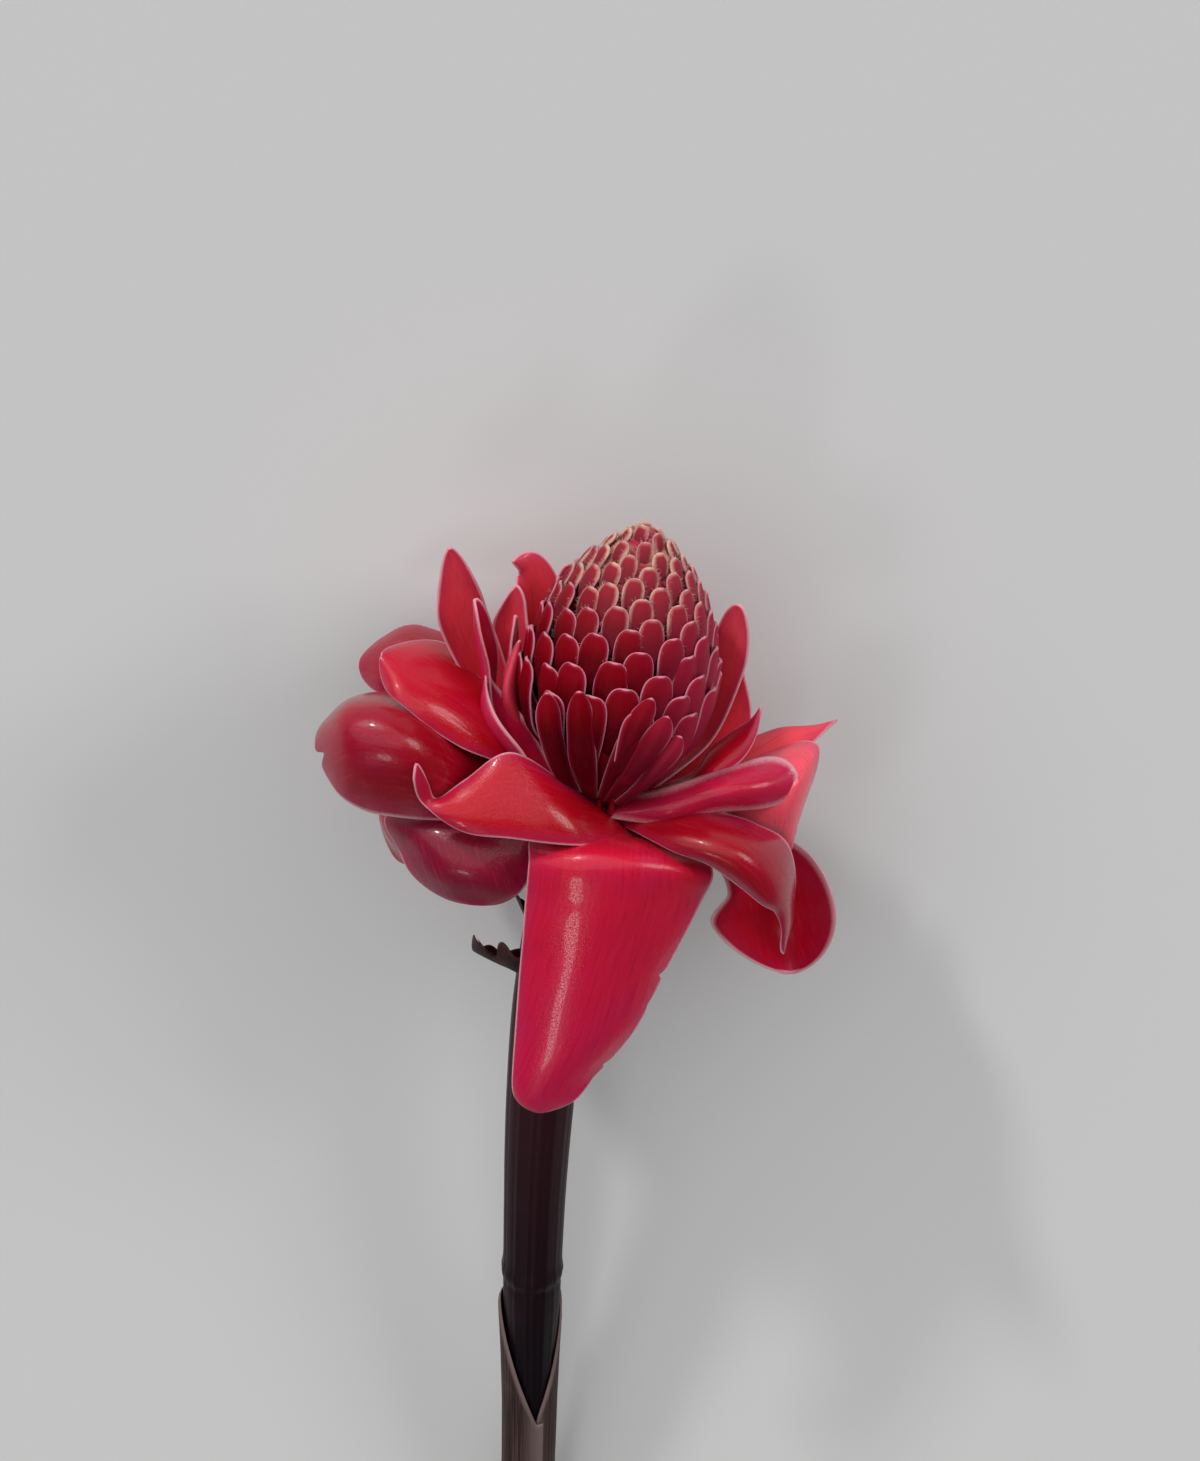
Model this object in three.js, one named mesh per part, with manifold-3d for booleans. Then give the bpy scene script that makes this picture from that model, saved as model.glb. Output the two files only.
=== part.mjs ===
// Torch ginger flower, cut and laid down on its back.
//
// Millimetres. +Z is up, +Y runs from the cut end of the stem toward the flower head, and the
// origin is at the middle of the flower's outline on the surface that it lies on.
//
// The flower is shaped upright first. The head frame has its origin where the big bracts meet,
// its z axis along the head and its front at azimuth -90. The stem frame has a vertical stem and
// carries the head, which leans over by HEAD_LEAN. The whole flower is then laid down.

import * as THREE from "three";
import { mergeVertices } from "three/addons/utils/BufferGeometryUtils.js";
import Module from "manifold-3d";

const wasm = await Module();
wasm.setup();

// ---------------------------------------------------------------- driving dimensions

const DEG = Math.PI / 180;

const HEAD_LEAN = 9 * DEG; // lean of the flower head over its stem, toward +X
const LYING_TILT = 8.7 * DEG; // slope of the stem once the flower rests on its back bracts
const LYING_SHIFT = new THREE.Vector3(3.8, 114.1, 58.65); // centres it on the surface

const CLEARANCE = 0.3; // gap between pieces that press on each other
const FACET_TOLERANCE = 0.01; // slivers thinner than this are closed up after a cut
const BRACT_THICKNESS = 1.4;
const REMNANT_THICKNESS = 0.9;
const BRACT_COLUMNS = 4; // facets across a bract
const ROWS_PER_STRETCH = 2; // facets along a bract, between one station and the next
const TIP_CROWDING = 1.5; // rows lie closer together toward the tip by this power
const SECTION_STEPS = 8; // steps of the sum that bends a blade's cross-section

const STEM_SIDES = 16;
const STEM_LENGTH = 330; // from the head's origin down to the cut end
const NODE_RING = { height: -180, rise: 0.7, spread: 3 }; // a low ridge round the stem

// Radius of the stem at each height, with the receptacle that carries the bracts at its top.
const STEM_PROFILE = [
  [-STEM_LENGTH, 7.9],
  [-270, 8],
  [-240, 8.2],
  [-215, 8.8],
  [-195, 9.7],
  [-184, 9.8],
  [-181.5, 9.8],
  [-178.5, 9.8],
  [-176, 9.9],
  [-150, 10.2],
  [-110, 11],
  [-60, 11.4],
  [-30, 12.4],
  [-15, 14.2],
  [-6, 16.3],
  [2, 17.4],
  [9, 17],
  [13, 15.6],
];

// The stem's centreline in the stem frame, as [sideways, height].
const STEM_COURSE = [
  [-25, -STEM_LENGTH],
  [-22.5, -255],
  [-20.6, -180],
  [-17.6, -115],
  [-12.4, -57],
  [0, 0],
  [2.2, 14],
];

const SHEATH = {
  thickness: 0.9,
  gap: 0.4, // between sheath and stem, and between its lapped margins
  rim: -193,
  seam: -76 * DEG, // where round the stem the margins meet
  overlap: 30 * DEG,
  mouthDepth: 52, // how far the V at the seam dips below the rim
  mouthHalfAngle: 95 * DEG,
  around: 26, // facets round the stem
  rows: 6,
};

const CONE = {
  apex: 104, // height of the tip over the head's origin
  base: 14,
  radius: 32, // envelope radius far below the tip
  taper: 22, // distance below the tip over which the envelope opens
  taperPower: 1.15,
  lowestTip: 50, // distance below the apex of the lowest tongue's tip
  highestTip: 0.8,
  goldenAngle: 137.508,
  firstAngle: 40,
  crowding: [0.6, 0.71], // share of a tongue's face that its neighbours leave free, from the tip down
  tongueThickness: 1.3,
  shortTongue: 20, // a shorter tongue has a facet fewer along it
  coreFoot: [
    [14, 12.5],
    [19, 14],
    [27, 17.5],
  ], // [height, radius] of the core where it stands on the receptacle
  coreHeights: [60, 46, 34, 24, 16, 10, 5.5, 3], // stations of the core, below the apex
  coreSides: 16,
};

// ---------------------------------------------------------------- colours

const material = (name, color, roughness) =>
  new THREE.MeshStandardMaterial({ name, color, roughness, metalness: 0 });

const WAXY_RED = material("waxy_red", 0xb21c2c, 0.3);
const CONE_CRIMSON = material("cone_crimson", 0x8f1a34, 0.45);
const STEM_MAROON = material("stem_maroon", 0x24101a, 0.4);
const SHEATH_BROWN = material("sheath_brown", 0x4a2f2e, 0.6);
const WITHERED_BROWN = material("withered_brown", 0x3a1014, 0.8);

// ---------------------------------------------------------------- the bracts

// A station is [azimuth, reach, height, width, cup, twist], and an optional seventh value, curl.
// Azimuth, reach and height place the midrib in the head frame. Cup is the angle in degrees by
// which the blade has turned up at its margin, curl is a further turn kept to the right margin,
// and twist rolls the blade round its midrib.
//
// The stations of a bract with rails are nine numbers each: the x, y and z, in the head frame, of
// a point of its left margin, of its midrib and of its right margin.
const BRACTS = [
  {
    name: "bract_front_flag",
    tip: [10, 0.5],
    stations: [
      [-9, -12, -0.8, -0.1, -15, 1.2, 14.2, -12, 2.9],
      [-19.2, -24, 6.3, 4.7, -20, 8.9, 30.6, -20, 7.2],
      [-19.4, -34, 5.2, 4.7, -39, 13.8, 35.1, -30, 7.1],
      [-18.4, -35, -9.4, 6.1, -42, -0.6, 33.4, -30, -3.6],
      [-17.1, -36, -28.7, 4.2, -43, -22, 27.9, -32, -24.5],
      [-15.4, -38, -53.4, 2.1, -44, -47.8, 21.5, -36, -48.3],
      [-14.4, -39, -73.8, -3.3, -43, -70.7, 12.4, -39, -68.4],
      [-14.2, -40, -81.2, -3.4, -41, -81.1, 11.7, -40, -77.9],
    ],
  },
  {
    name: "bract_front_left_fold",
    tip: [9, 0.5],
    stations: [
      [0.3, -12, 13.7, 6.7, -17, 11.2, 13.8, -18, 6.8],
      [-12.9, -20, 25.9, -10.4, -30, 21.6, -4.9, -34, 13.1],
      [-29.5, -24, 35.5, -28.5, -32, 25.9, -25.6, -37, 14.3],
      [-41, -27, 26.3, -41.1, -34, 20.7, -39.5, -35, 13.2],
      [-48.3, -29, 19.8, -50.4, -31, 19, -52, -32, 18.4],
      [-51.1, -30, 24.5, -53.8, -32, 26.1, -56.4, -33, 26.3],
      [-53.4, -31, 31.3, -56.1, -32, 32.5, -57.5, -33, 30.6],
    ],
  },
  {
    name: "bract_front_right_droop",
    tip: [9, 0.5],
    stations: [
      [6.4, -14, 9.8, 8.8, -13, 11.4, 14.3, -6, 12],
      [20.1, -33, 15.4, 23.3, -32, 21.2, 27.7, -19, 22.2],
      [36.4, -38, 12.8, 39.4, -38, 22.1, 45.2, -18, 18.6],
      [49.6, -37, 3.1, 51.7, -37, 12.1, 57.6, -20, 13.6],
      [55.6, -34, -2.4, 58.2, -33, -1.3, 61.9, -24, -3.4],
      [59.3, -31, -15.8, 61.1, -30, -18.5, 62, -28, -14.6],
    ],
  },
  {
    name: "bract_right_round",
    tip: [6, 0.5],
    stations: [
      [1.7, -16, 12.6, 5.4, -15, 15.7, 9.6, -9, 16.5],
      [19.4, -20, 15.9, 18.9, -24, 23.7, 19.8, -16, 26.5],
      [33.5, -19, 21.4, 32.5, -23, 30.9, 34.3, -10, 30.6],
      [46.5, -16, 21.8, 45.5, -19, 32.8, 47.2, -4, 34.2],
      [58.8, -15, 22.8, 56.6, -12, 31.9, 55.5, -6, 39.3],
    ],
  },
  {
    name: "bract_left_inner_curl",
    tip: [6, 0.5],
    stations: [
      [-15.9, 2.7, 12, -13.2, -4.8, 12, -10.4, -12.3, 12],
      [-13.9, -8, 19.6, -19.4, -14, 21.1, -17.2, -20, 23.2],
      [-20.9, -4, 29.5, -28.6, -12, 28.3, -24.6, -18, 30.5],
      [-29.7, -2, 40.8, -37.8, -8, 38.3, -32.7, -14, 39.2],
      [-36.3, -3, 47.6, -38.7, -5, 50.4, -38.7, -7, 47.1],
    ],
  },
  {
    name: "bract_right_mid_near",
    tip: [5, 0.5],
    stations: [
      [9.9, -12.1, 12, 12.7, -4.6, 12, 15.4, 2.9, 12],
      [25.9, -15, 22.9, 25.1, -12, 24.4, 26.4, -4, 24.9],
      [34.3, -12, 30.1, 33.2, -8, 33.8, 31.8, 2, 31.6],
      [41.7, -8, 36.9, 40, -5, 40.1, 39.1, 2, 40.2],
      [44.8, -2, 44.3, 43.6, 0, 48.1, 43, 1, 45],
    ],
  },
  {
    name: "bract_right_mid_far",
    tip: [2, 0.6],
    stations: [
      [-8, 13.5, 6, 18, 20, 0],
      [2, 37.5, 22, 24, -10, 10],
      [11, 54, 30, 22, -20, 15],
      [18, 75, 34, 6, -10, 10],
    ],
  },
  {
    name: "bract_left_mid",
    tip: [7, 0.5],
    stations: [
      [-12, 11.8, 6, -13.4, 1.9, 6, -14.8, -8, 6],
      [-31.5, 8, 32.2, -29.3, -7, 30, -24.3, -13, 21.5],
      [-43.4, 13, 40.3, -45.6, -10, 41.7, -43.3, -19, 31.6],
      [-52.9, 15, 47.8, -60.6, -9, 48.9, -62.1, -19, 42.4],
      [-69.6, 8, 50.4, -70.2, -5, 50.5, -71, -11, 41],
    ],
  },
  {
    name: "bract_left_big",
    tip: [8, 0.5],
    columns: 6,
    notch: [0.08, 0.1, 0.06],
    stations: [
      [-16.4, 7, 2, -13.5, -3.6, 2, -10.7, -14.2, 2],
      [-31.3, 4, 20.4, -34, -14, 18.8, -31.1, -20, 7.9],
      [-53.9, 6, 30.8, -57.9, -27, 37.7, -50.9, -23, 7.8],
      [-74.4, 4, 31.9, -76.4, -24, 36, -68.6, -22, 6.1],
      [-88.1, 0, 24.1, -85.1, -12, 20, -79.8, -19, 6.3],
    ],
  },
  {
    name: "bract_left_lower",
    tip: [6, 0.5],
    stations: [
      [-18.3, 2.1, -4, -11.6, -7.8, -4, -4.9, -17.8, -4],
      [-38.1, -8, 7.2, -22.8, -20, 8.1, -6.6, -22, 4.1],
      [-61.9, -11, 0.3, -41.7, -25, 6.3, -14.3, -26, 2],
      [-57.9, -17, -9.6, -39.5, -31, -2.2, -16, -28, -6.3],
      [-56.1, -22, -22, -31.7, -28, -16.5, -13.3, -26, -15.3],
    ],
  },
  {
    name: "bract_tall_left",
    tip: [5, 0.5],
    stations: [
      [-10.4, 11.8, 10, -12.8, 4.2, 10, -15.3, -3.4, 10],
      [-26.9, 16, 29.9, -32.1, 13, 28.7, -36.2, 4, 29.9],
      [-36, 17, 49, -45.2, 15, 48.7, -53.8, 6, 55.8],
      [-42.5, 16, 64.3, -50, 16, 64.5, -56.9, 8, 65.3],
      [-47.3, 13, 78.2, -54.6, 11, 80.8, -59.2, 9, 76.8],
    ],
  },
  {
    name: "bract_tall_narrow",
    tip: [4, 0.5],
    columns: 6,
    stations: [
      [176, 13.5, 13, 12, 30, 0, 0],
      [180, 34.5, 33, 14, 15, 0, 40],
      [180, 41, 54, 15, 40, -20, 110],
      [179, 45.5, 70.5, 11, 40, -35, 100],
    ],
  },
  {
    name: "bract_right_low_curl",
    tip: [6, 0.5],
    stations: [
      [8.5, -16.1, -8, 13.1, -6.1, -8, 17.8, 3.8, -8],
      [32.5, -16, 2.6, 41.1, -6, -0.6, 48.3, 4, 1.3],
      [41.7, -24, -3.2, 56.6, 2, -14.8, 65.4, -4, 2.7],
      [36.3, -26, -14.1, 64, 8, -34.8, 78.9, -12, -10.2],
      [45.8, -18, -34.3, 69.9, -4, -43.9, 87.6, -12, -30.5],
    ],
  },
  {
    name: "bract_right_back_reflexed",
    tip: [4, 0.5],
    stations: [
      [14.8, -8.7, 0, 13.9, 1.2, 0, 13.1, 11.2, 0],
      [31.5, 0, 11.2, 33.8, 0, 18.8, 37.9, 10, 20.4],
      [39.3, -8, 13.7, 47.6, -8, 29.3, 56.7, 10, 31],
      [44.6, -12, 10.6, 54.8, -15, 29.3, 66.2, 6, 34.3],
      [52.8, -12, 9, 59.4, -12, 7.1, 61.2, -8, 17.5],
    ],
  },
  {
    name: "bract_right_upper",
    tip: [5, 0.5],
    stations: [
      [30, 13.5, 10, 15, 30, 0],
      [30, 32, 26, 17, 30, 5],
      [28, 37.5, 50, 16, 20, 20],
      [28, 37.5, 72, 15, 10, 30],
    ],
  },
  {
    name: "bract_right_upper_behind",
    tip: [2.5, 0.6],
    stations: [
      [18, 13.5, 7, 16, 30, 0],
      [24, 36, 26, 22, 10, 10],
      [28, 42.5, 36, 20, 0, 20],
      [29, 43.5, 50, 8, 0, 25],
    ],
  },
  {
    name: "bract_left_inner_front",
    tip: [5, 0.5],
    stations: [
      [-16.9, -4, 17, -18.4, -2, 16.5, -20, 0, 16.5],
      [-25.4, 0, 30.9, -27.5, -4, 34, -30.4, -3, 33],
      [-29.3, 2, 43, -32, -3, 44.5, -34.4, -1, 42.3],
      [-28, 6, 54.4, -30.5, 3, 57.7, -33.1, 3, 53.2],
    ],
  },
  {
    name: "bract_left_inner_back",
    tip: [4, 0.5],
    stations: [
      [162, 14, 12, 9, 30, 0],
      [161, 30, 25, 10, 20, 0],
      [160, 34, 46, 10, 30, 0],
      [160, 34.5, 61, 7, 30, 0],
    ],
  },
  {
    name: "bract_back_left_short",
    tip: [6, 0.5],
    stations: [
      [-3.6, 15.2, 12, -9, 10.7, 12, -14.4, 6.2, 12],
      [-19, 16, 34.7, -21, 18, 31.8, -25.1, 16, 30.2],
      [-27.2, 18, 53.3, -32.3, 22, 49.6, -38, 18, 48.1],
      [-28.1, 19, 65.6, -33.3, 22, 65.6, -38.6, 20, 60.7],
    ],
  },
  {
    name: "bract_back_left_curl",
    tip: [3, 0.5],
    stations: [
      [116, 14, 6, 16, 30, 0],
      [122, 38, 31, 20, 10, 0],
      [127, 42, 54, 20, 10, 0],
      [131, 44.5, 66, 14, -10, -10],
      [140, 46, 69.5, 7, -30, -20],
    ],
  },
  {
    name: "bract_back_shoulder",
    tip: [4, 0.5],
    stations: [
      [110, 14, 13, 12, 30, 0],
      [115, 31, 29, 18, 20, 0],
      [120, 33.5, 52, 20, 30, 0],
      [124, 34, 72, 14, 20, 0],
    ],
  },
  {
    name: "bract_left_back",
    tip: [4, 0.5],
    stations: [
      [-9.2, 14.5, -2, -13, 5.2, -2, -16.7, -4, -2],
      [-38.2, 40, 27.8, -38.6, 22, 24.5, -37.8, 16, 15.6],
      [-58.1, 50, 32, -56.8, 28, 31.7, -55.2, 18, 23.5],
      [-70.4, 50, 29, -69.7, 30, 27.4, -66.4, 22, 19.4],
      [-79.5, 46, 25.8, -76.4, 36, 21.9, -74.9, 28, 14.5],
    ],
  },
  {
    name: "bract_left_under",
    tip: [4, 0.5],
    stations: [
      [-14.3, 9.5, -7, -14, -0.5, -7, -13.6, -10.5, -7],
      [-43.5, 16, -7.3, -41.2, 4, -8.4, -36.2, -6, -8.4],
      [-60.1, 19, -10.7, -61.6, 6, -12.2, -53, -10, -13.9],
      [-70.7, 14, -13.3, -57.5, 3, -24.5, -45.3, -6, -28.4],
    ],
  },
  {
    name: "bract_back_upright",
    tip: [4, 0.5],
    stations: [
      [88, 13.5, 8, 20, 30, 0],
      [88, 36, 30, 28, 20, 0],
      [88, 42, 50, 28, 10, 0],
      [88, 44, 66, 20, 0, 0],
    ],
  },
  {
    name: "bract_back_rest_left",
    tip: [4, 0.5],
    stations: [
      [118, 14, 0, 22, 30, 0],
      [118, 34, 14, 34, 0, 0],
      [118, 52, 18, 38, -20, 0],
      [118, 70, 14, 30, -25, 0],
    ],
  },
  {
    name: "bract_back_rest_right",
    tip: [4, 0.5],
    stations: [
      [60, 14, 1, 22, 30, 0],
      [61, 34, 15, 34, 0, 0],
      [62, 52, 19, 38, -20, 0],
      [62, 68.4, 14, 30, -25, 0],
    ],
  },
  {
    name: "bract_back_low",
    tip: [4, 0.5],
    stations: [
      [92, 14.5, -8, 24, 30, 0],
      [92, 30, -6, 38, 0, 0],
      [92, 42, -20, 40, -30, 0],
      [92, 46, -44, 26, -30, 0],
    ],
  },
  {
    name: "bract_back_right_low",
    tip: [4, 0.5],
    stations: [
      [38, 14.5, -5, 22, 30, 0],
      [38, 36, 2, 36, 0, 0],
      [36, 56, -2, 40, -30, 0],
      [34, 68, -18, 30, -30, 0],
    ],
  },
  {
    name: "bract_back_left_low",
    tip: [4, 0.5],
    stations: [
      [146, 14.5, -6, 22, 30, 0],
      [146, 34, -2, 36, 0, 0],
      [146, 52, -6, 40, -30, 0],
      [146, 64, -22, 30, -30, 0],
    ],
  },
];

// Two dry remnants of the lowest bracts, still on the stem under the head.
const REMNANTS = [
  {
    name: "withered_bract_lower",
    tip: [6, 0.5],
    wave: [1.6, 2.2, 0.1],
    notch: [0.5, 0.3, 0.28],
    stations: [
      [-173, 11.5, -58, 12, 60, 0],
      [-161, 18.5, -54, 15, 60, 20],
      [-157, 25.5, -48, 17, 40, 40],
      [-158, 32, -40, 12, 20, 50],
    ],
  },
  {
    name: "withered_bract_upper",
    tip: [4, 0.5],
    wave: [0.8, 1.6, 0.3],
    stations: [
      [-160, 10, -40, 9, 40, 0],
      [-160, 14, -37, 10, 40, 0],
      [-160, 18, -31, 9, 30, 0],
      [-160, 20.5, -25.5, 7, 20, 0],
    ],
  },
];

// ---------------------------------------------------------------- curves and blades

const lerp = (a, b, t) => a + (b - a) * t;
const ramp = (x, low, high) => THREE.MathUtils.clamp((x - low) / (high - low), 0, 1);

// A smooth curve through evenly spaced points, straight at both ends.
function curveThrough(points) {
  return new THREE.CatmullRomCurve3(points, false, "catmullrom", 0.5);
}

function fromCylindrical([azimuth, reach, height]) {
  const angle = azimuth * DEG;
  return new THREE.Vector3(reach * Math.cos(angle), reach * Math.sin(angle), height);
}

// A strip runs along a curved midrib. u runs from root (0) to tip (1), v from the left margin
// (-1) to the right one (1). Its kinds give pointAt(u, v, grow): a point of the middle surface,
// where grow widens the strip and lengthens it at both ends.
class Strip {
  constructor({ stations, tip = [3, 0.5], blunt = 1, notch = null }) {
    this.tip = tip;
    this.blunt = blunt;
    this.notch = notch;
    this.stretches = stations.length - 1;
  }

  // The share of the width that is left at u.
  narrowing(u) {
    const [roundness, power] = this.tip;
    return Math.max(1 - u ** roundness, 0) ** power;
  }

  normalAt(u, v) {
    const step = 2e-3;
    const ends = [Math.max(u - step, 0), Math.min(u + step, 1)];
    const sides = [Math.max(v - step, -1), Math.min(v + step, 1)];
    const along = this.pointAt(ends[1], v).sub(this.pointAt(ends[0], v));
    const across = this.pointAt(u, sides[1]).sub(this.pointAt(u, sides[0]));
    return along.cross(across).normalize();
  }

  // A notch draws the blade's end back round v = place.
  pulledBack(u, v) {
    if (!this.notch) return u;
    const [depth, place, spread] = this.notch;
    return u * (1 - depth * Math.exp(-(((v - place) / spread) ** 2)) * u ** 4);
  }

  // The closed solid: an upper and a lower face on the same grid, joined round their border.
  geometry({ rows, columns, thickness, grow = 0 }) {
    const upper = [];
    const lower = [];
    for (let i = 0; i <= rows; i += 1) {
      for (let j = 0; j <= columns; j += 1) {
        const v = (2 * j) / columns - 1;
        const u = this.pulledBack(1 - (1 - i / rows) ** TIP_CROWDING, v);
        const point = this.pointAt(u, v, grow);
        const offset = this.normalAt(u, v).multiplyScalar(thickness / 2 + grow);
        upper.push(point.clone().add(offset));
        lower.push(point.clone().sub(offset));
      }
    }
    return closedSlab(upper, lower, rows, columns);
  }
}

// A blade is bent out of its midrib's own directions across and upward.
class Blade extends Strip {
  constructor(form) {
    super(form);
    const { stations, wave = [0, 1, 0] } = form;
    this.midrib = curveThrough(stations.map(fromCylindrical));
    this.bends = curveThrough(stations.map((s) => new THREE.Vector3(s[4], s[5], s[6] ?? 0)));
    this.widths = curveThrough(stations.map((s) => new THREE.Vector3(s[3], 0, 0)));
    this.wave = wave;
  }

  // The midrib's point, the direction across the blade and the direction it faces.
  frameAt(u) {
    const step = 1e-3;
    const centre = this.midrib.getPoint(u);
    const along = this.midrib.getPoint(Math.min(u + step, 1));
    along.sub(this.midrib.getPoint(Math.max(u - step, 0))).normalize();
    const around = new THREE.Vector3(-centre.y, centre.x, 0).normalize();
    around.addScaledVector(along, -around.dot(along)).normalize();
    const across = around.applyAxisAngle(along, this.bends.getPoint(u).y * DEG);
    const facing = new THREE.Vector3().crossVectors(along, across);
    return { centre, along, across, facing };
  }

  halfWidth(u) {
    return Math.max(0.5 * this.widths.getPoint(u).x * this.narrowing(u), this.blunt);
  }

  // The cross-section starts level at the midrib and turns by cup * s + curl * s^3 on its way out
  // to the margin; summing the turned steps gives how far out and up the point at v lies.
  section(u, v) {
    const bend = this.bends.getPoint(u);
    const side = Math.abs(v);
    const curl = v > 0 ? bend.z : 0;
    let out = 0;
    let up = 0;
    for (let k = 0; k < SECTION_STEPS; k += 1) {
      const s = (side * (k + 0.5)) / SECTION_STEPS;
      const turn = (bend.x * s + curl * s ** 3) * DEG;
      out += (side / SECTION_STEPS) * Math.cos(turn);
      up += (side / SECTION_STEPS) * Math.sin(turn);
    }
    return [out * Math.sign(v), up];
  }

  pointAt(u, v, grow = 0) {
    const { centre, along, across, facing } = this.frameAt(u);
    if (u === 0) centre.addScaledVector(along, -grow);
    if (u > 0.999) centre.addScaledVector(along, grow);
    const half = this.halfWidth(u) + grow;
    const [out, up] = this.section(u, v);
    const [height, waves, phase] = this.wave;
    const offset = v > 0 ? 1.3 : 0;
    const ripple = height * v * v * Math.sin(2 * Math.PI * (waves * u + phase) + offset);
    return centre.addScaledVector(across, half * out).addScaledVector(facing, half * up + ripple);
  }
}

// A railed blade is drawn through its margins. Its cross-section is the parabola through the three
// rails' points.
class RailedBlade extends Strip {
  constructor(form) {
    super(form);
    this.rails = [0, 3, 6].map((k) =>
      curveThrough(form.stations.map((s) => new THREE.Vector3(s[k], s[k + 1], s[k + 2]))),
    );
  }

  pointAt(u, v, grow = 0) {
    const step = 1e-3;
    const [left, middle, right] = this.rails.map((rail) => rail.getPoint(u));
    const slope = right.clone().sub(left).multiplyScalar(0.5);
    const bend = right.add(left).multiplyScalar(0.5).sub(middle);
    const along = this.rails[1].getPoint(Math.min(u + step, 1));
    along.sub(this.rails[1].getPoint(Math.max(u - step, 0))).normalize();
    const narrowing = Math.max(this.narrowing(u), this.blunt / slope.length());
    slope.multiplyScalar(narrowing + grow / slope.length());
    if (u === 0) middle.addScaledVector(along, -grow);
    if (u > 0.999) middle.addScaledVector(along, grow);
    return middle.addScaledVector(slope, v).addScaledVector(bend, narrowing * v * v);
  }
}

const bladeOf = (form) => (form.stations[0].length === 9 ? new RailedBlade(form) : new Blade(form));

// Closes two matching grids of points into one body. Both faces are split along the same
// diagonals, so that they can't cross however much the grid is bent.
function closedSlab(upper, lower, rows, columns) {
  const faces = [];
  const below = upper.length;
  const at = (i, j) => i * (columns + 1) + j;
  const wall = (a, b) => faces.push([a, below + a, below + b], [a, below + b, b]);
  for (let i = 0; i < rows; i += 1) {
    for (let j = 0; j < columns; j += 1) {
      const [a, b, c, d] = [at(i, j), at(i + 1, j), at(i + 1, j + 1), at(i, j + 1)];
      faces.push([a, b, c], [a, c, d]);
      faces.push([below + a, below + c, below + b], [below + a, below + d, below + c]);
    }
    wall(at(i, 0), at(i + 1, 0));
    wall(at(i + 1, columns), at(i, columns));
  }
  for (let j = 0; j < columns; j += 1) {
    wall(at(0, j + 1), at(0, j));
    wall(at(rows, j), at(rows, j + 1));
  }
  return indexedGeometry([...upper, ...lower], faces);
}

function indexedGeometry(points, faces) {
  const geometry = new THREE.BufferGeometry().setFromPoints(points);
  geometry.setIndex(faces.flat());
  return geometry;
}

// ---------------------------------------------------------------- solids

const HEAD_TO_STEM = new THREE.Matrix4().makeRotationY(HEAD_LEAN);
const LAID_DOWN = new THREE.Matrix4()
  .makeRotationX(LYING_TILT - Math.PI / 2)
  .setPosition(LYING_SHIFT);
const HEAD_LAID_DOWN = LAID_DOWN.clone().multiply(HEAD_TO_STEM);

function solidOf(geometry, matrix) {
  const placed = geometry.clone().applyMatrix4(matrix);
  return new wasm.Manifold(
    new wasm.Mesh({
      numProp: 3,
      vertProperties: placed.attributes.position.array,
      triVerts: new Uint32Array(placed.index.array),
    }),
  );
}

// A three.js shape as one closed solid: only its points count, and shared ones are merged.
function solidOfShape(geometry, matrix) {
  geometry.deleteAttribute("normal");
  geometry.deleteAttribute("uv");
  return solidOf(mergeVertices(geometry, 1e-4), matrix);
}

function meshOf(name, solid, colour) {
  const { vertProperties, triVerts } = solid.asOriginal().simplify(FACET_TOLERANCE).getMesh();
  const geometry = new THREE.BufferGeometry();
  geometry.setAttribute("position", new THREE.BufferAttribute(vertProperties, 3));
  geometry.setIndex(new THREE.BufferAttribute(triVerts, 1));
  const mesh = new THREE.Mesh(geometry, colour);
  mesh.name = name;
  return mesh;
}

// A cut can leave a scrap of the root on the far side of a neighbour; the blade itself is kept.
function largestPiece(solid) {
  const pieces = solid.decompose();
  return pieces.reduce((a, b) => (b.volume() > a.volume() ? b : a));
}

// ---------------------------------------------------------------- stem and sheath

const STEM_LINE = curveThrough(STEM_COURSE.map(([x, z]) => new THREE.Vector3(x, 0, z)));

// The place along the stem's centreline that lies at a height.
function stemStation(height) {
  let low = 0;
  let high = 1;
  while (high - low > 1e-6) {
    const middle = (low + high) / 2;
    if (STEM_LINE.getPoint(middle).z < height) low = middle;
    else high = middle;
  }
  return (low + high) / 2;
}

function stemRadius(height) {
  const above = STEM_PROFILE.findIndex(([z]) => z >= height);
  const next = STEM_PROFILE[above < 0 ? STEM_PROFILE.length - 1 : above];
  const last = STEM_PROFILE[Math.max(above < 0 ? STEM_PROFILE.length - 2 : above - 1, 0)];
  const share = next === last ? 0 : ramp(height, last[0], next[0]);
  const ridge = Math.exp(-(((height - NODE_RING.height) / NODE_RING.spread) ** 2));
  return lerp(last[1], next[1], share) + NODE_RING.rise * ridge;
}

// A point beside the stem's centreline, at a distance from it, on the cross-section at a height.
function besideStem(height, angle, distance) {
  const station = stemStation(height);
  const centre = STEM_LINE.getPoint(station);
  const along = STEM_LINE.getPoint(Math.min(station + 1e-3, 1));
  along.sub(STEM_LINE.getPoint(Math.max(station - 1e-3, 0))).normalize();
  const sideways = new THREE.Vector3(along.z, 0, -along.x);
  const backwards = new THREE.Vector3(0, 1, 0);
  centre.addScaledVector(sideways, distance * Math.cos(angle));
  return centre.addScaledVector(backwards, distance * Math.sin(angle));
}

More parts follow.
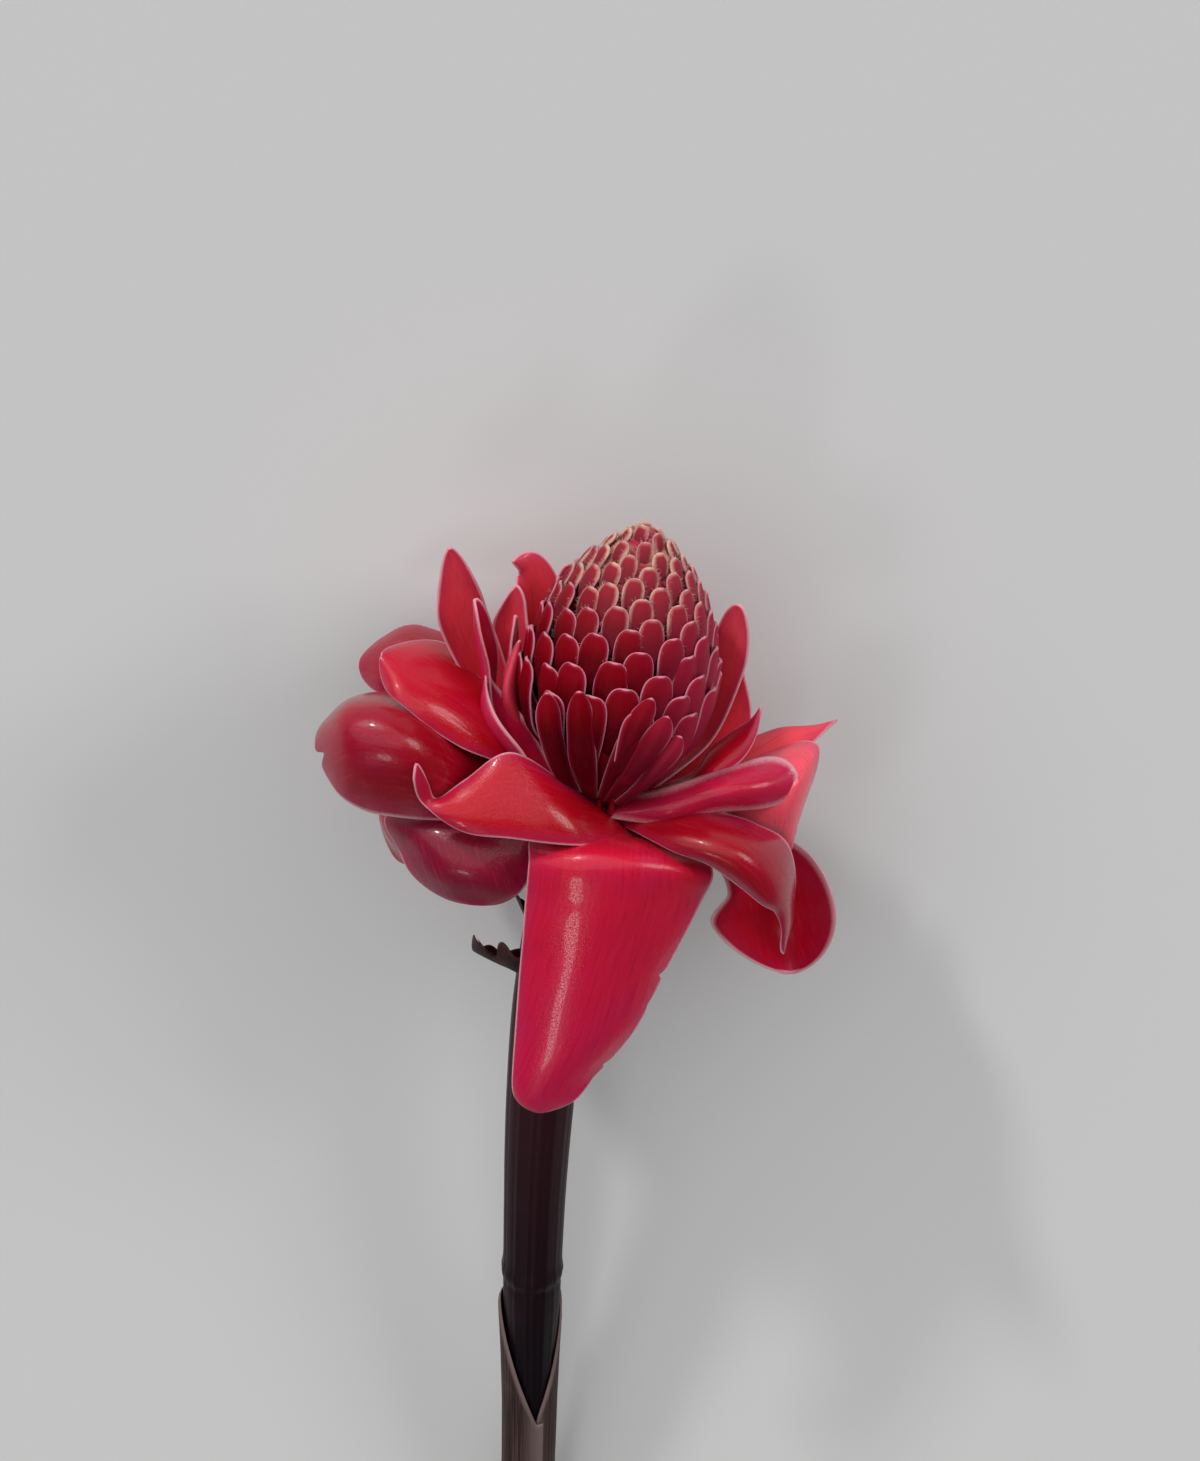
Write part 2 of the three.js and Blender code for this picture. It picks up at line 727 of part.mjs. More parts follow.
// Closes a stack of rings, from the lowest up, into one body with a flat cap at each end.
function loft(rings) {
  const sides = rings[0].length;
  const points = rings.flat();
  const faces = [];
  for (let i = 0; i + 1 < rings.length; i += 1) {
    for (let j = 0; j < sides; j += 1) {
      const k = (j + 1) % sides;
      const [a, b, c, d] = [i * sides + j, i * sides + k, (i + 1) * sides + k, (i + 1) * sides + j];
      faces.push([a, b, c], [a, c, d]);
    }
  }
  const top = (rings.length - 1) * sides;
  for (let j = 1; j + 1 < sides; j += 1) {
    faces.push([0, j + 1, j], [top, top + j, top + j + 1]);
  }
  return indexedGeometry(points, faces);
}

function stemGeometry(grow = 0) {
  const rings = STEM_PROFILE.map(([height]) => {
    const ring = [];
    for (let side = 0; side < STEM_SIDES; side += 1) {
      const angle = (side * 2 * Math.PI) / STEM_SIDES;
      ring.push(besideStem(height, angle, stemRadius(height) + grow));
    }
    return ring;
  });
  return loft(rings);
}

// The leaf sheath wraps the lower stem. One margin laps over the other along a seam at the front,
// and the rim dips to a V there.
function sheathGeometry() {
  const { thickness, seam, overlap, gap, around, rows } = SHEATH;
  const outer = [];
  const inner = [];
  for (let i = 0; i <= around; i += 1) {
    const turn = (i / around) * (2 * Math.PI + overlap) - overlap / 2;
    const awayFromSeam = Math.PI - Math.abs(Math.PI - turn);
    const rim = SHEATH.rim - SHEATH.mouthDepth * (1 - ramp(awayFromSeam, 0, SHEATH.mouthHalfAngle));
    const lap = (thickness + gap) * ramp(i / around, 0.55, 0.95);
    for (let j = 0; j <= rows; j += 1) {
      const height = lerp(-STEM_LENGTH, rim, j / rows);
      const distance = stemRadius(height) + gap + lap;
      outer.push(besideStem(height, seam + turn, distance + thickness));
      inner.push(besideStem(height, seam + turn, distance));
    }
  }
  return closedSlab(outer, inner, around, rows);
}

// ---------------------------------------------------------------- floral cone

// Radius of the cone's outline at a distance below its tip.
function coneEnvelope(below) {
  return CONE.radius * (1 - Math.exp(-((below / CONE.taper) ** CONE.taperPower)));
}

// Small uneven shifts, so that the tongues don't stand in a machine's order.
const wobble = (index, phase) => Math.sin(12.9 * index + 7.3 * phase);

// The tongues of the cone: each turns by the golden angle from the one below it. Its tip lies on
// the envelope, and from there it runs down and ever more steeply in to the core.
function tongueForms() {
  const forms = [];
  let below = CONE.lowestTip;
  while (below > CONE.highestTip) {
    const index = forms.length;
    const share = ramp(below, 3, CONE.lowestTip);
    const width = lerp(4.8, 10.2, ramp(below, 3, 34));
    const row = lerp(4.6, 12.5, ramp(below, 3, 40));
    const length = lerp(8, 38, share) * (1 + 0.06 * wobble(index, 1));
    const slope = (coneEnvelope(below + 0.5) - coneEnvelope(below - 0.5)) / DEG;
    const lean = 11 + 3 * wobble(index, 2) - Math.atan(slope * DEG) / DEG;
    const azimuth = CONE.firstAngle + CONE.goldenAngle * index + 2.5 * wobble(index, 3);
    forms.push(tongueForm({ azimuth, below, length, width, lean }));
    const crowding = lerp(...CONE.crowding, ramp(below, 3, 34));
    below -= (width * row * crowding) / (2 * Math.PI * Math.max(coneEnvelope(below), 2));
  }
  return forms;
}

function tongueForm({ azimuth, below, length, width, lean }) {
  const steps = [0, 1, 2];
  const points = [[coneEnvelope(below) + 0.6, CONE.apex - below]];
  for (const step of steps) {
    const [reach, height] = points.at(-1);
    const angle = (lean + 55 * ((step + 0.5) / steps.length) ** 1.6) * DEG;
    const stride = length / steps.length;
    points.push([Math.max(reach - stride * Math.sin(angle), 1), height - stride * Math.cos(angle)]);
  }
  const widths = [width, 1.04 * width, 0.85 * width, 0.5 * width];
  const cups = [22, 22, 30, 40];
  const stations = points.map(([r, z], k) => [azimuth, r, z, widths[k], cups[k], 0]).reverse();
  const rows = length < CONE.shortTongue ? 2 : 3;
  return { stations, rows, tip: [5, 0.5], blunt: 0.18 * width };
}

function coreSolid(grow) {
  const profile = [new THREE.Vector2(0, CONE.base - grow)];
  for (const [height, radius] of CONE.coreFoot) {
    profile.push(new THREE.Vector2(radius + grow, height - (height === CONE.base ? grow : 0)));
  }
  for (const below of CONE.coreHeights) {
    const sunk = lerp(1.8, 9, ramp(below, 3, 48));
    profile.push(new THREE.Vector2(coneEnvelope(below) - sunk + grow, CONE.apex - below));
  }
  profile.push(new THREE.Vector2(0, CONE.apex - CONE.coreHeights.at(-1) + 1 + grow));
  const lathe = new THREE.LatheGeometry(profile, CONE.coreSides).rotateX(Math.PI / 2);
  return solidOfShape(lathe, HEAD_LAID_DOWN);
}

function coneSolid(grow = 0) {
  let cone = coreSolid(grow);
  const thickness = CONE.tongueThickness;
  for (const form of tongueForms()) {
    const { rows } = form;
    const tongue = new Blade(form).geometry({ rows, columns: 2, thickness, grow });
    cone = cone.add(solidOf(tongue, HEAD_LAID_DOWN));
  }
  return cone;
}

// ---------------------------------------------------------------- the flower

// Where the surface would press into a bract or the stem, it leaves a small flat spot.
const BELOW_SURFACE = solidOfShape(
  new THREE.BoxGeometry(600, 900, 100),
  new THREE.Matrix4().makeTranslation(0, 0, -50),
);

// Each blade gives way to the stem, to the cone and to the blades made before it.
function bladeMeshes(forms, colour, thickness, inTheWay) {
  return forms.map((form) => {
    const blade = bladeOf(form);
    const rows = ROWS_PER_STRETCH * blade.stretches;
    const grid = { rows, columns: form.columns ?? BRACT_COLUMNS, thickness };
    let solid = solidOf(blade.geometry(grid), HEAD_LAID_DOWN).subtract(BELOW_SURFACE);
    const grown = solidOf(blade.geometry({ ...grid, grow: CLEARANCE }), HEAD_LAID_DOWN);
    for (const other of inTheWay) solid = solid.subtract(other);
    inTheWay.push(grown);
    return meshOf(form.name, largestPiece(solid), colour);
  });
}

const stem = solidOf(stemGeometry(), LAID_DOWN).subtract(BELOW_SURFACE);
const sheath = solidOf(sheathGeometry(), LAID_DOWN).subtract(BELOW_SURFACE);
const cone = largestPiece(coneSolid().subtract(solidOf(stemGeometry(CLEARANCE), LAID_DOWN)));
const inTheWay = [solidOf(stemGeometry(CLEARANCE), LAID_DOWN), coneSolid(CLEARANCE)];

const flower = new THREE.Group();
flower.add(meshOf("stem", stem, STEM_MAROON));
flower.add(meshOf("stem_sheath", sheath, SHEATH_BROWN));
flower.add(meshOf("floral_cone", cone, CONE_CRIMSON));
flower.add(...bladeMeshes(BRACTS, WAXY_RED, BRACT_THICKNESS, inTheWay));
flower.add(...bladeMeshes(REMNANTS, WITHERED_BROWN, REMNANT_THICKNESS, inTheWay));

export default flower;
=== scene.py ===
"""Torch ginger flower, cut and lying on its back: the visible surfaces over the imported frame.

Lengths are millimetres and angles are degrees until a mesh is made, which is in metres. The flower
is worked out as it grew. The head frame has its z axis along the flower head, its origin where the
big bracts meet and its front at azimuth -90. The stem frame has a vertical stem and carries the
head, which leans over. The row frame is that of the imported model, with the flower laid down.
"""

from __future__ import annotations

import json
import logging
import math
import sys
from collections.abc import Iterator, Mapping, Sequence
from dataclasses import dataclass, field, replace
from enum import Enum
from typing import Any, NamedTuple, Union

import bpy
import numpy as np
from mathutils import Matrix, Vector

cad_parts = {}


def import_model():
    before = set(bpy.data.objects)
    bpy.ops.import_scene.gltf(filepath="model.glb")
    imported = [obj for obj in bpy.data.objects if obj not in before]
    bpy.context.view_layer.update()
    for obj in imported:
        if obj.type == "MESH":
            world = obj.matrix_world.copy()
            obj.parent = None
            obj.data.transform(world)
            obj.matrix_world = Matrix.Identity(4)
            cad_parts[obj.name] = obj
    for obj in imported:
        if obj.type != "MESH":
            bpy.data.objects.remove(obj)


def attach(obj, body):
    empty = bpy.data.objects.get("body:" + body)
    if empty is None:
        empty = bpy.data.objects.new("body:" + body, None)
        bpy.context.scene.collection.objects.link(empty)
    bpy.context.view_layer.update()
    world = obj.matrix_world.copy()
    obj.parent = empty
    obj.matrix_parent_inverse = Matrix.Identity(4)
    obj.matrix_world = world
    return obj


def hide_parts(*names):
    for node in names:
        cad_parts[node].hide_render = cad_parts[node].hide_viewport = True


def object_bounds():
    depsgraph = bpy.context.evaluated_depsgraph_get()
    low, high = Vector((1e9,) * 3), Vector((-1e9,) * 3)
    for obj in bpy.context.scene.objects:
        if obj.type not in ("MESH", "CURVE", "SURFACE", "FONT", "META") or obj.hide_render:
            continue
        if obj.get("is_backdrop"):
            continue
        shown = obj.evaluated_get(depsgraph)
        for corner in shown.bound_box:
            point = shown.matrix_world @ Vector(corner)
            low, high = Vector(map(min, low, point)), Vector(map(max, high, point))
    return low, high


log = logging.getLogger("torch_ginger")

Array = np.ndarray
Station = tuple[float, ...]

MILLIMETRE = 0.001
UV_UNIT = 100.0  # the millimetres to 1 of a UV map
SMALL_STEP = 1e-3  # along a curve, for its direction
FAR_IN = 3.0  # a distance to the margin at which nothing of its colour is left
BODY = "root"

HEAD_LEAN = 9.0  # lean of the head over its stem, toward +X
LYING_TILT = 8.7  # slope of the stem once the flower rests on its back bracts
LYING_SHIFT = (3.8, 114.1, 58.65)  # centres the flower on the surface
CAMERA_ELEVATION = 31.0  # over the level plane of the upright flower


# ---------------------------------------------------------------- numbers and curves


def unit(vectors: Array) -> Array:
    """Vectors of length one along the given ones.

    Args:
        vectors: an array whose last axis is x, y, z.

    Returns:
        An array of the same shape.
    """
    return vectors / np.maximum(np.linalg.norm(vectors, axis=-1, keepdims=True), 1e-9)


def ease(x: Array, low: float, high: float) -> Array:
    """A smooth step from 0 at low to 1 at high: 3 t^2 - 2 t^3 of the clamped share t.

    Args:
        x: where to take the step.
        low: the value at which it starts.
        high: the value at which it ends.

    Returns:
        The step at each x.
    """
    t = np.clip((np.asarray(x, float) - low) / (high - low), 0, 1)
    return t * t * (3 - 2 * t)


def between(low: float, high: float, share: Array) -> Array:
    """The value at a share of the way from low to high."""
    return low + (high - low) * share


def through(values: Sequence[Station], u: Array) -> Array:
    """A curve through evenly spaced values, straight at both ends.

    On the stretch from b to c, with neighbours a and d and t from 0 to 1, the value is
    b + (c - a) t / 2 + (a - 5 b / 2 + 2 c - d / 2) t^2 + (3 b - a - 3 c + d) t^3 / 2.

    Args:
        values: the rows to run through.
        u: places on the curve, from 0 to 1, in an array of any shape.

    Returns:
        An array of u's shape with one more axis, for the values' columns.
    """
    rows = np.asarray(values, float)
    count = len(rows) - 1
    padded = np.concatenate([2 * rows[:1] - rows[1:2], rows, 2 * rows[-1:] - rows[-2:-1]])
    x = np.clip(np.asarray(u, float), 0, 1) * count
    i = np.minimum(x.astype(int), count - 1)
    t = (x - i)[..., None]
    a, b, c, d = padded[i], padded[i + 1], padded[i + 2], padded[i + 3]
    square = a - 2.5 * b + 2 * c - 0.5 * d
    cube = 0.5 * (3 * b - a - 3 * c + d)
    return b + 0.5 * (c - a) * t + square * t**2 + cube * t**3


def heading(values: Sequence[Station], u: Array) -> Array:
    """The direction in which the curve through the values runs at u."""
    ahead, behind = np.minimum(u + SMALL_STEP, 1), np.maximum(u - SMALL_STEP, 0)
    return unit(through(values, ahead) - through(values, behind))


def turned(points: Array, axis: str, degrees: float) -> Array:
    """Points turned about a coordinate axis through the origin.

    Args:
        points: an array whose last axis is x, y, z.
        axis: "X", "Y" or "Z".
        degrees: the turn, counterclockwise seen from the axis's end.

    Returns:
        The turned points.
    """
    return points @ np.array(Matrix.Rotation(math.radians(degrees), 3, axis)).T


def stem_to_row(points: Array) -> Array:
    """Points of the stem frame, laid down in the row frame."""
    return turned(points, "X", LYING_TILT - 90) + np.array(LYING_SHIFT)


def head_to_row(points: Array) -> Array:
    """Points of the head frame, leant over and laid down in the row frame."""
    return stem_to_row(turned(points, "Y", HEAD_LEAN))


# ---------------------------------------------------------------- meshes


@dataclass
class Skin:
    """A closed surface on its way to a mesh: points in millimetres, faces and what they carry."""

    points: Array
    faces: list[Array]
    uv: Array
    marks: dict[str, Array] = field(default_factory=dict)

    @staticmethod
    def joined(skins: Sequence[Skin]) -> Skin:
        """Several skins in one, each still closed by itself.

        Args:
            skins: the skins, which all carry the same marks.

        Returns:
            One skin with all their points and faces.
        """
        starts = np.cumsum([0] + [len(skin.points) for skin in skins[:-1]])
        faces = [face + start for skin, start in zip(skins, starts) for face in skin.faces]
        names = skins[0].marks
        return Skin(
            np.concatenate([skin.points for skin in skins]),
            faces,
            np.concatenate([skin.uv for skin in skins]),
            {name: np.concatenate([skin.marks[name] for skin in skins]) for name in names},
        )

    def mesh(self, name: str) -> bpy.types.Mesh:
        """The Blender mesh, in metres, with its UV map and its marks as point attributes."""
        mesh = bpy.data.meshes.new(name)
        sizes = np.concatenate([np.full(len(f), f.shape[1]) for f in self.faces])
        corners = np.concatenate([f.ravel() for f in self.faces]).astype(np.int32)
        mesh.vertices.add(len(self.points))
        mesh.vertices.foreach_set("co", (self.points * MILLIMETRE).astype(np.float32).ravel())
        mesh.loops.add(len(corners))
        mesh.loops.foreach_set("vertex_index", corners)
        mesh.polygons.add(len(sizes))
        starts = np.concatenate([[0], np.cumsum(sizes)[:-1]]).astype(np.int32)
        mesh.polygons.foreach_set("loop_start", starts)
        mesh.update(calc_edges=True)
        mesh.validate()
        mesh.shade_smooth()
        layer = mesh.uv_layers.new(name="UVMap")
        layer.data.foreach_set("uv", self.uv[corners].astype(np.float32).ravel())
        for mark, values in self.marks.items():
            attribute = mesh.attributes.new(mark, "FLOAT", "POINT")
            attribute.data.foreach_set("value", values.astype(np.float32))
        return mesh


def tube_faces(rings: int, sides: int) -> list[Array]:
    """Faces of a stack of closed rings whose two ends meet in a pole each.

    Points are numbered ring after ring, then the first pole, then the last one.

    Args:
        rings: how many rings there are.
        sides: how many points a ring has, counterclockwise seen from the last ring.

    Returns:
        The quads and the triangles.
    """
    i, j = np.meshgrid(np.arange(rings - 1), np.arange(sides), indexing="ij")
    k = (j + 1) % sides
    quads = np.stack([i * sides + j, i * sides + k, (i + 1) * sides + k, (i + 1) * sides + j], -1)
    j, k = np.arange(sides), (np.arange(sides) + 1) % sides
    last = (rings - 1) * sides
    foot = np.stack([np.full(sides, rings * sides), k, j], -1)
    top = np.stack([np.full(sides, rings * sides + 1), last + j, last + k], -1)
    return [quads.reshape(-1, 4), foot, top]


# ---------------------------------------------------------------- shader maths

Value = Union["Socket", float, tuple[float, ...], str]  # a text is a screen colour


class Socket:
    """An output of a shader node. Arithmetic on it adds Math nodes to the same tree."""

    def __init__(self, tree: ShaderTree, output: bpy.types.NodeSocket) -> None:
        """Wraps an output of a node that belongs to tree."""
        self.tree = tree
        self.output = output

    def _math(self, operation: str, first: Value, second: Value) -> Socket:
        """The result of a Math node on two values."""
        return self.tree.node("ShaderNodeMath", {"operation": operation}, {0: first, 1: second})

    def __add__(self, other: Value) -> Socket:
        """The sum."""
        return self._math("ADD", self, other)

    def __sub__(self, other: Value) -> Socket:
        """The difference."""
        return self._math("SUBTRACT", self, other)

    def __rsub__(self, other: Value) -> Socket:
        """The difference, the other way round."""
        return self._math("SUBTRACT", other, self)

    def __mul__(self, other: Value) -> Socket:
        """The product."""
        return self._math("MULTIPLY", self, other)

    def __truediv__(self, other: Value) -> Socket:
        """The quotient."""
        return self._math("DIVIDE", self, other)

    def __pow__(self, other: Value) -> Socket:
        """The power."""
        return self._math("POWER", self, other)

    __radd__ = __add__
    __rmul__ = __mul__

    def toward(self, colour: Value, share: Value) -> Socket:
        """This colour, a share of the way toward another one."""
        return self.tree.mix(share, self, colour)

    def step(self, low: float, high: float) -> Socket:
        """A smooth step from 0 where this value is low to 1 where it is high."""
        inputs = {"Value": self, "From Min": low, "From Max": high}
        return self.tree.node("ShaderNodeMapRange", {"interpolation_type": "SMOOTHSTEP"}, inputs)


class ShaderTree:
    """A new material with one Principled shader, and the nodes that feed it."""

    def __init__(self, name: str) -> None:
        """Starts the material with that name."""
        self.material = bpy.data.materials.new(name)
        self.material.use_nodes = True
        self.nodes = self.material.node_tree.nodes
        self.links = self.material.node_tree.links
        self.nodes.clear()
        self.shader = self.nodes.new("ShaderNodeBsdfPrincipled")
        surface = self.nodes.new("ShaderNodeOutputMaterial")
        self.links.new(self.shader.outputs[0], surface.inputs["Surface"])

    def feed(self, node: bpy.types.Node, key: str | int, value: Value) -> None:
        """Links a socket of a node to a value's output, or sets it to a number or colour."""
        socket = node.inputs[key]
        if isinstance(value, Socket):
            self.links.new(value.output, socket)
        else:
            socket.default_value = hue(value) if isinstance(value, str) else value

    def node(
        self,
        kind: str,
        settings: Mapping[str, Any] | None = None,
        inputs: Mapping[str | int, Value] | None = None,
        output: str | int = 0,
    ) -> Socket:
        """Adds a node of any kind.

        Args:
            kind: the node's type name.
            settings: its own settings, set before its sockets.
            inputs: numbers, colours or sockets for its inputs, by name or number.
            output: the name or number of the output to return.

        Returns:
            That output.
        """
        node = self.nodes.new(kind)
        for key, value in (settings or {}).items():
            setattr(node, key, value)
        for key, value in (inputs or {}).items():
            self.feed(node, key, value)
        return Socket(self, node.outputs[output])

    def mark(self, name: str) -> Socket:
        """The value of a point attribute."""
        return self.node("ShaderNodeAttribute", {"attribute_name": name}, output="Fac")

    def noise(self, where: Socket, scale: float, detail: float = 2, stretch: float = 1) -> Socket:
        """Noise from 0 to 1.

        Args:
            where: the coordinates.
            scale: how many features there are to a unit of length.
            detail: how many finer layers there are on it.
            stretch: how many times longer the features are along the second coordinate.

        Returns:
            The noise's height.
        """
        placed = self.node(
            "ShaderNodeMapping", None, {"Vector": where, "Scale": (scale, scale / stretch, scale)}
        )
        inputs = {"Vector": placed, "Scale": 1.0, "Detail": detail}
        return self.node("ShaderNodeTexNoise", None, inputs)

    def mix(self, share: Value, low: Value, high: Value) -> Socket:
        """The colour at a share of the way from one colour to another."""
        inputs = {0: share, 6: low, 7: high}
        return self.node("ShaderNodeMix", {"data_type": "RGBA"}, inputs, output=2)

    def surface_map(self) -> Socket:
        """The piece's own UV map: across and along the piece, 1 for each 100 mm."""
        return self.node("ShaderNodeUVMap", {"uv_map": "UVMap"})

    def place(self) -> Socket:
        """Where a point is, in metres."""
        return self.node("ShaderNodeTexCoord", output="Object")

    def finish(
        self,
        colour: Value,
        roughness: Value,
        height: Socket,
        relief: float,
        others: Mapping[str, Value] | None = None,
    ) -> bpy.types.Material:
        """Feeds the shader.

        Args:
            colour: the base colour.
            roughness: the roughness.
            height: the relief's height, from 0 to 1.
            relief: how high that stands, in millimetres.
            others: values of the shader's other sockets, by name.

        Returns:
            The material.
        """
        inputs = {"Height": height, "Distance": relief * MILLIMETRE}
        bump = self.node("ShaderNodeBump", None, inputs)
        self.feed(self.shader, "Base Color", colour)
        self.feed(self.shader, "Roughness", roughness)
        self.feed(self.shader, "Normal", bump)
        for key, value in (others or {}).items():
            self.feed(self.shader, key, value)
        return self.material


def hue(code: str) -> tuple[float, float, float, float]:
    """A screen colour, as six hexadecimal digits, in the renderer's linear values."""
    parts = [int(code[i : i + 2], 16) / 255 for i in (0, 2, 4)]
    linear = [p / 12.92 if p <= 0.04045 else ((p + 0.055) / 1.055) ** 2.4 for p in parts]
    return (linear[0], linear[1], linear[2], 1.0)


# ---------------------------------------------------------------- finishes


@dataclass(frozen=True)
class WaxyFlesh:
    """The finish of a bract: waxy flesh with lengthwise streaks and a thin pale margin."""

    name: str
    flesh: str
    # darker hue at the root: partly the bract's own deeper colour, partly painted shade of the
    # throat
    root: str
    flush: str  # the hue toward the tip and in clouds
    outer: str  # the hue of the outer face
    flushed: float = 0.45
    margin: str = "e4a4b0"
    streak: str = "cc3050"
    vein: str = "700418"
    near_margin: str = "b02458"
    speck: str = "5c0a22"
    relief: float = 0.14
    specular: float = 0.25
    wax: float = 0.5  # weight of the coat where the wrinkles stand up
    wax_roughness: float = 0.09

    def material(self) -> bpy.types.Material:
        """The material."""
        tree = ShaderTree(self.name)
        uv, place = tree.surface_map(), tree.place()
        along, edge, inner = tree.mark("along"), tree.mark("edge"), tree.mark("inner")
        clouds = tree.noise(place, 55, 3)
        streaks = tree.noise(uv, 110, 4, stretch=14)
        fine = tree.noise(uv, 420, 3, stretch=5)
        specks = tree.noise(uv, 150, 1)
        # darker toward the root: partly the bract's own colour, partly painted shade of the throat
        tone = tree.mix(along.step(0.05, 0.4), self.root, self.flesh)
        flush = along.step(0.35, 1.05) * self.flushed + clouds.step(0.45, 0.75) * 0.45
        tone = tone.toward(self.flush, flush)
        tone = tone.toward(self.outer, (1 - inner) * 0.7)
        tone = tone.toward(self.streak, streaks.step(0.5, 0.8) * 0.3)
        tone = tone.toward(self.vein, streaks.step(0.5, 0.2) * 0.32)
        tone = tone.toward(self.near_margin, (1 - edge.step(0.5, 5)) * 0.4)
        tone = tone.toward(self.speck, specks.step(0.73, 0.78) * 0.4)
        rim = 1 - (edge + (fine - 0.5) * 0.5).step(0.2, 0.9)
        tone = tone.toward(self.margin, rim * 0.8)
        rough = 0.08 + fine * 0.08 + clouds * 0.12
        wrinkles = tree.noise(uv, 150, 4, stretch=0.6)
        height = fine * 0.35 + wrinkles * 0.65
        gloss = {
            "Specular IOR Level": self.specular,
            "Coat Weight": wrinkles.step(0.4, 0.6) * self.wax,
            "Coat Roughness": self.wax_roughness,
        }
        return tree.finish(tone, rough, height, self.relief, gloss)


class Flush(Enum):
    """The hues that the bracts come in, with darker and brighter copies that paint shade and light
    on some bracts.
    """

    SCARLET = WaxyFlesh("bract_scarlet", "bc081c", "9c0614", "bc1038", "bc1c40")
    CRIMSON = WaxyFlesh("bract_crimson", "9a061a", "900816", "980a34", "a0123c")
    MAGENTA = WaxyFlesh("bract_magenta", "cc1236", "c81828", "c0144c", "b41448", flushed=0.7)
    # Coral flesh: partly the bracts' own coral hue, partly painted light, brightened to stand for
    # light shining through and onto these back and inner bracts.
    CORAL_AND_PAINTED_LIGHT = WaxyFlesh("bract_coral_and_painted_light", "e63646", "cc1a2e", "ee5464", "dc4a5c")
    # A brighter, pinker copy of the coral flesh: painted light and sheen on the reflexed bract at
    # the right back.
    ROSE_PAINTED_LIGHT = WaxyFlesh("bract_rose_painted_light", "f0485c", "d0263c", "f46c80", "e85a70")
    # A darker copy of the bract flesh: painted shade on the lower left bract, which faces down away
    # from the light.
    SHADED = WaxyFlesh("bract_shaded", "8a0a28", "7c0a1c", "760c34", "80102e")


@dataclass(frozen=True)
class TongueFlesh:
    """The finish of the cone's tongues: satin crimson with pale downy rims, woolly at the top, with
    painted shade toward each foot and painted light on the cone's right side.
    """

    name: str = "cone_tongue"
    flesh: str = "80000a"
    # painted shade: the dark hue that the tongues take toward their feet, where they overlap
    foot: str = "54000c"
    bloom: str = "940422"
    rim: str = "e09aaa"
    wool: str = "dcb49e"
    streak: str = "a00c34"
    # painted light: the pink toward which the cone's right side is painted, as though lit from the
    # right
    painted_side_light_hue: str = "b83052"
    crown: str = "c04858"
    near_margin: str = "b02c50"
    relief: float = 0.12
    specular: float = 0.07

    def material(self) -> bpy.types.Material:
        """The material."""
        tree = ShaderTree(self.name)
        uv, place = tree.surface_map(), tree.place()
        along, edge, top = tree.mark("along"), tree.mark("edge"), tree.mark("top")
        painted_side_light = tree.mark("painted_side_light")
        streaks = tree.noise(uv, 160, 4, stretch=9)
        fine = tree.noise(uv, 500, 3, stretch=3)
        clouds = tree.noise(place, 140, 3)
        # painted shade: each tongue darkens toward its foot, under the tongues above it
        tone = tree.mix(along.step(0.5, 0.97), self.foot, self.flesh)
        bloom = along.step(0.75, 1.0) * 0.4 + clouds.step(0.5, 0.8) * 0.3
        tone = tone.toward(self.bloom, bloom)
        tone = tone.toward(self.streak, streaks.step(0.5, 0.75) * 0.2)
        # painted light: the right side of the cone is painted pinker
        tone = tone.toward(self.painted_side_light_hue, painted_side_light * 0.5)
        tone = tone.toward(self.crown, top * 0.3)
        tone = tone.toward(self.near_margin, (1 - edge.step(0.3, 1.5)) * 0.4)
        rim = 1 - (edge + (fine - 0.5) * 0.3).step(0.12, 0.62)
        tone = tone.toward(self.rim, rim * 0.75)
        wool = top * (1 - edge.step(0.25, 1.5)) * clouds.step(0.34, 0.58) * 0.8
        tone = tone.toward(self.wool, wool)
        height = fine * 0.5 + streaks * 0.5
        gloss = {"Specular IOR Level": self.specular}
        return tree.finish(tone, 0.38 + fine * 0.2, height, self.relief, gloss)


@dataclass(frozen=True)
class StemSkin:
    """The finish of the stem: dark maroon skin with lengthwise ribs, and pale pith at the cut."""

    name: str = "stem_skin"
    upper: str = "301018"
    lower: str = "0a040a"
    rib: str = "280e16"
    pith: str = "c9a88c"
    cloud: str = "2a1420"
    bundle: str = "7a4a3c"
    receptacle: str = "7a0a20"
    relief: float = 0.12
    specular: float = 0.14

    def material(self) -> bpy.types.Material:
        """The material."""
        tree = ShaderTree(self.name)
        uv, place = tree.surface_map(), tree.place()
        head, cut = tree.mark("head"), tree.mark("cut")
        ribs = tree.noise(uv, 130, 4, stretch=40)
        fine = tree.noise(uv, 500, 3, stretch=8)
        clouds = tree.noise(place, 60, 3)
        tone = tree.mix(head, self.lower, self.upper)
        tone = tone.toward(self.rib, ribs.step(0.48, 0.75) * 0.4)
        tone = tone.toward(self.cloud, clouds.step(0.5, 0.75) * 0.35)
        bundles = tree.noise(place, 900, 1).step(0.6, 0.7)
        pith = tree.mix(bundles * 0.7, self.pith, self.bundle)
        tone = tone.toward(pith, cut)
        tone = tone.toward(self.receptacle, tree.mark("receptacle"))
        height = ribs * 0.7 + fine * 0.3
        gloss = {"Specular IOR Level": self.specular}
        return tree.finish(tone, 0.38 + fine * 0.15, height, self.relief, gloss)


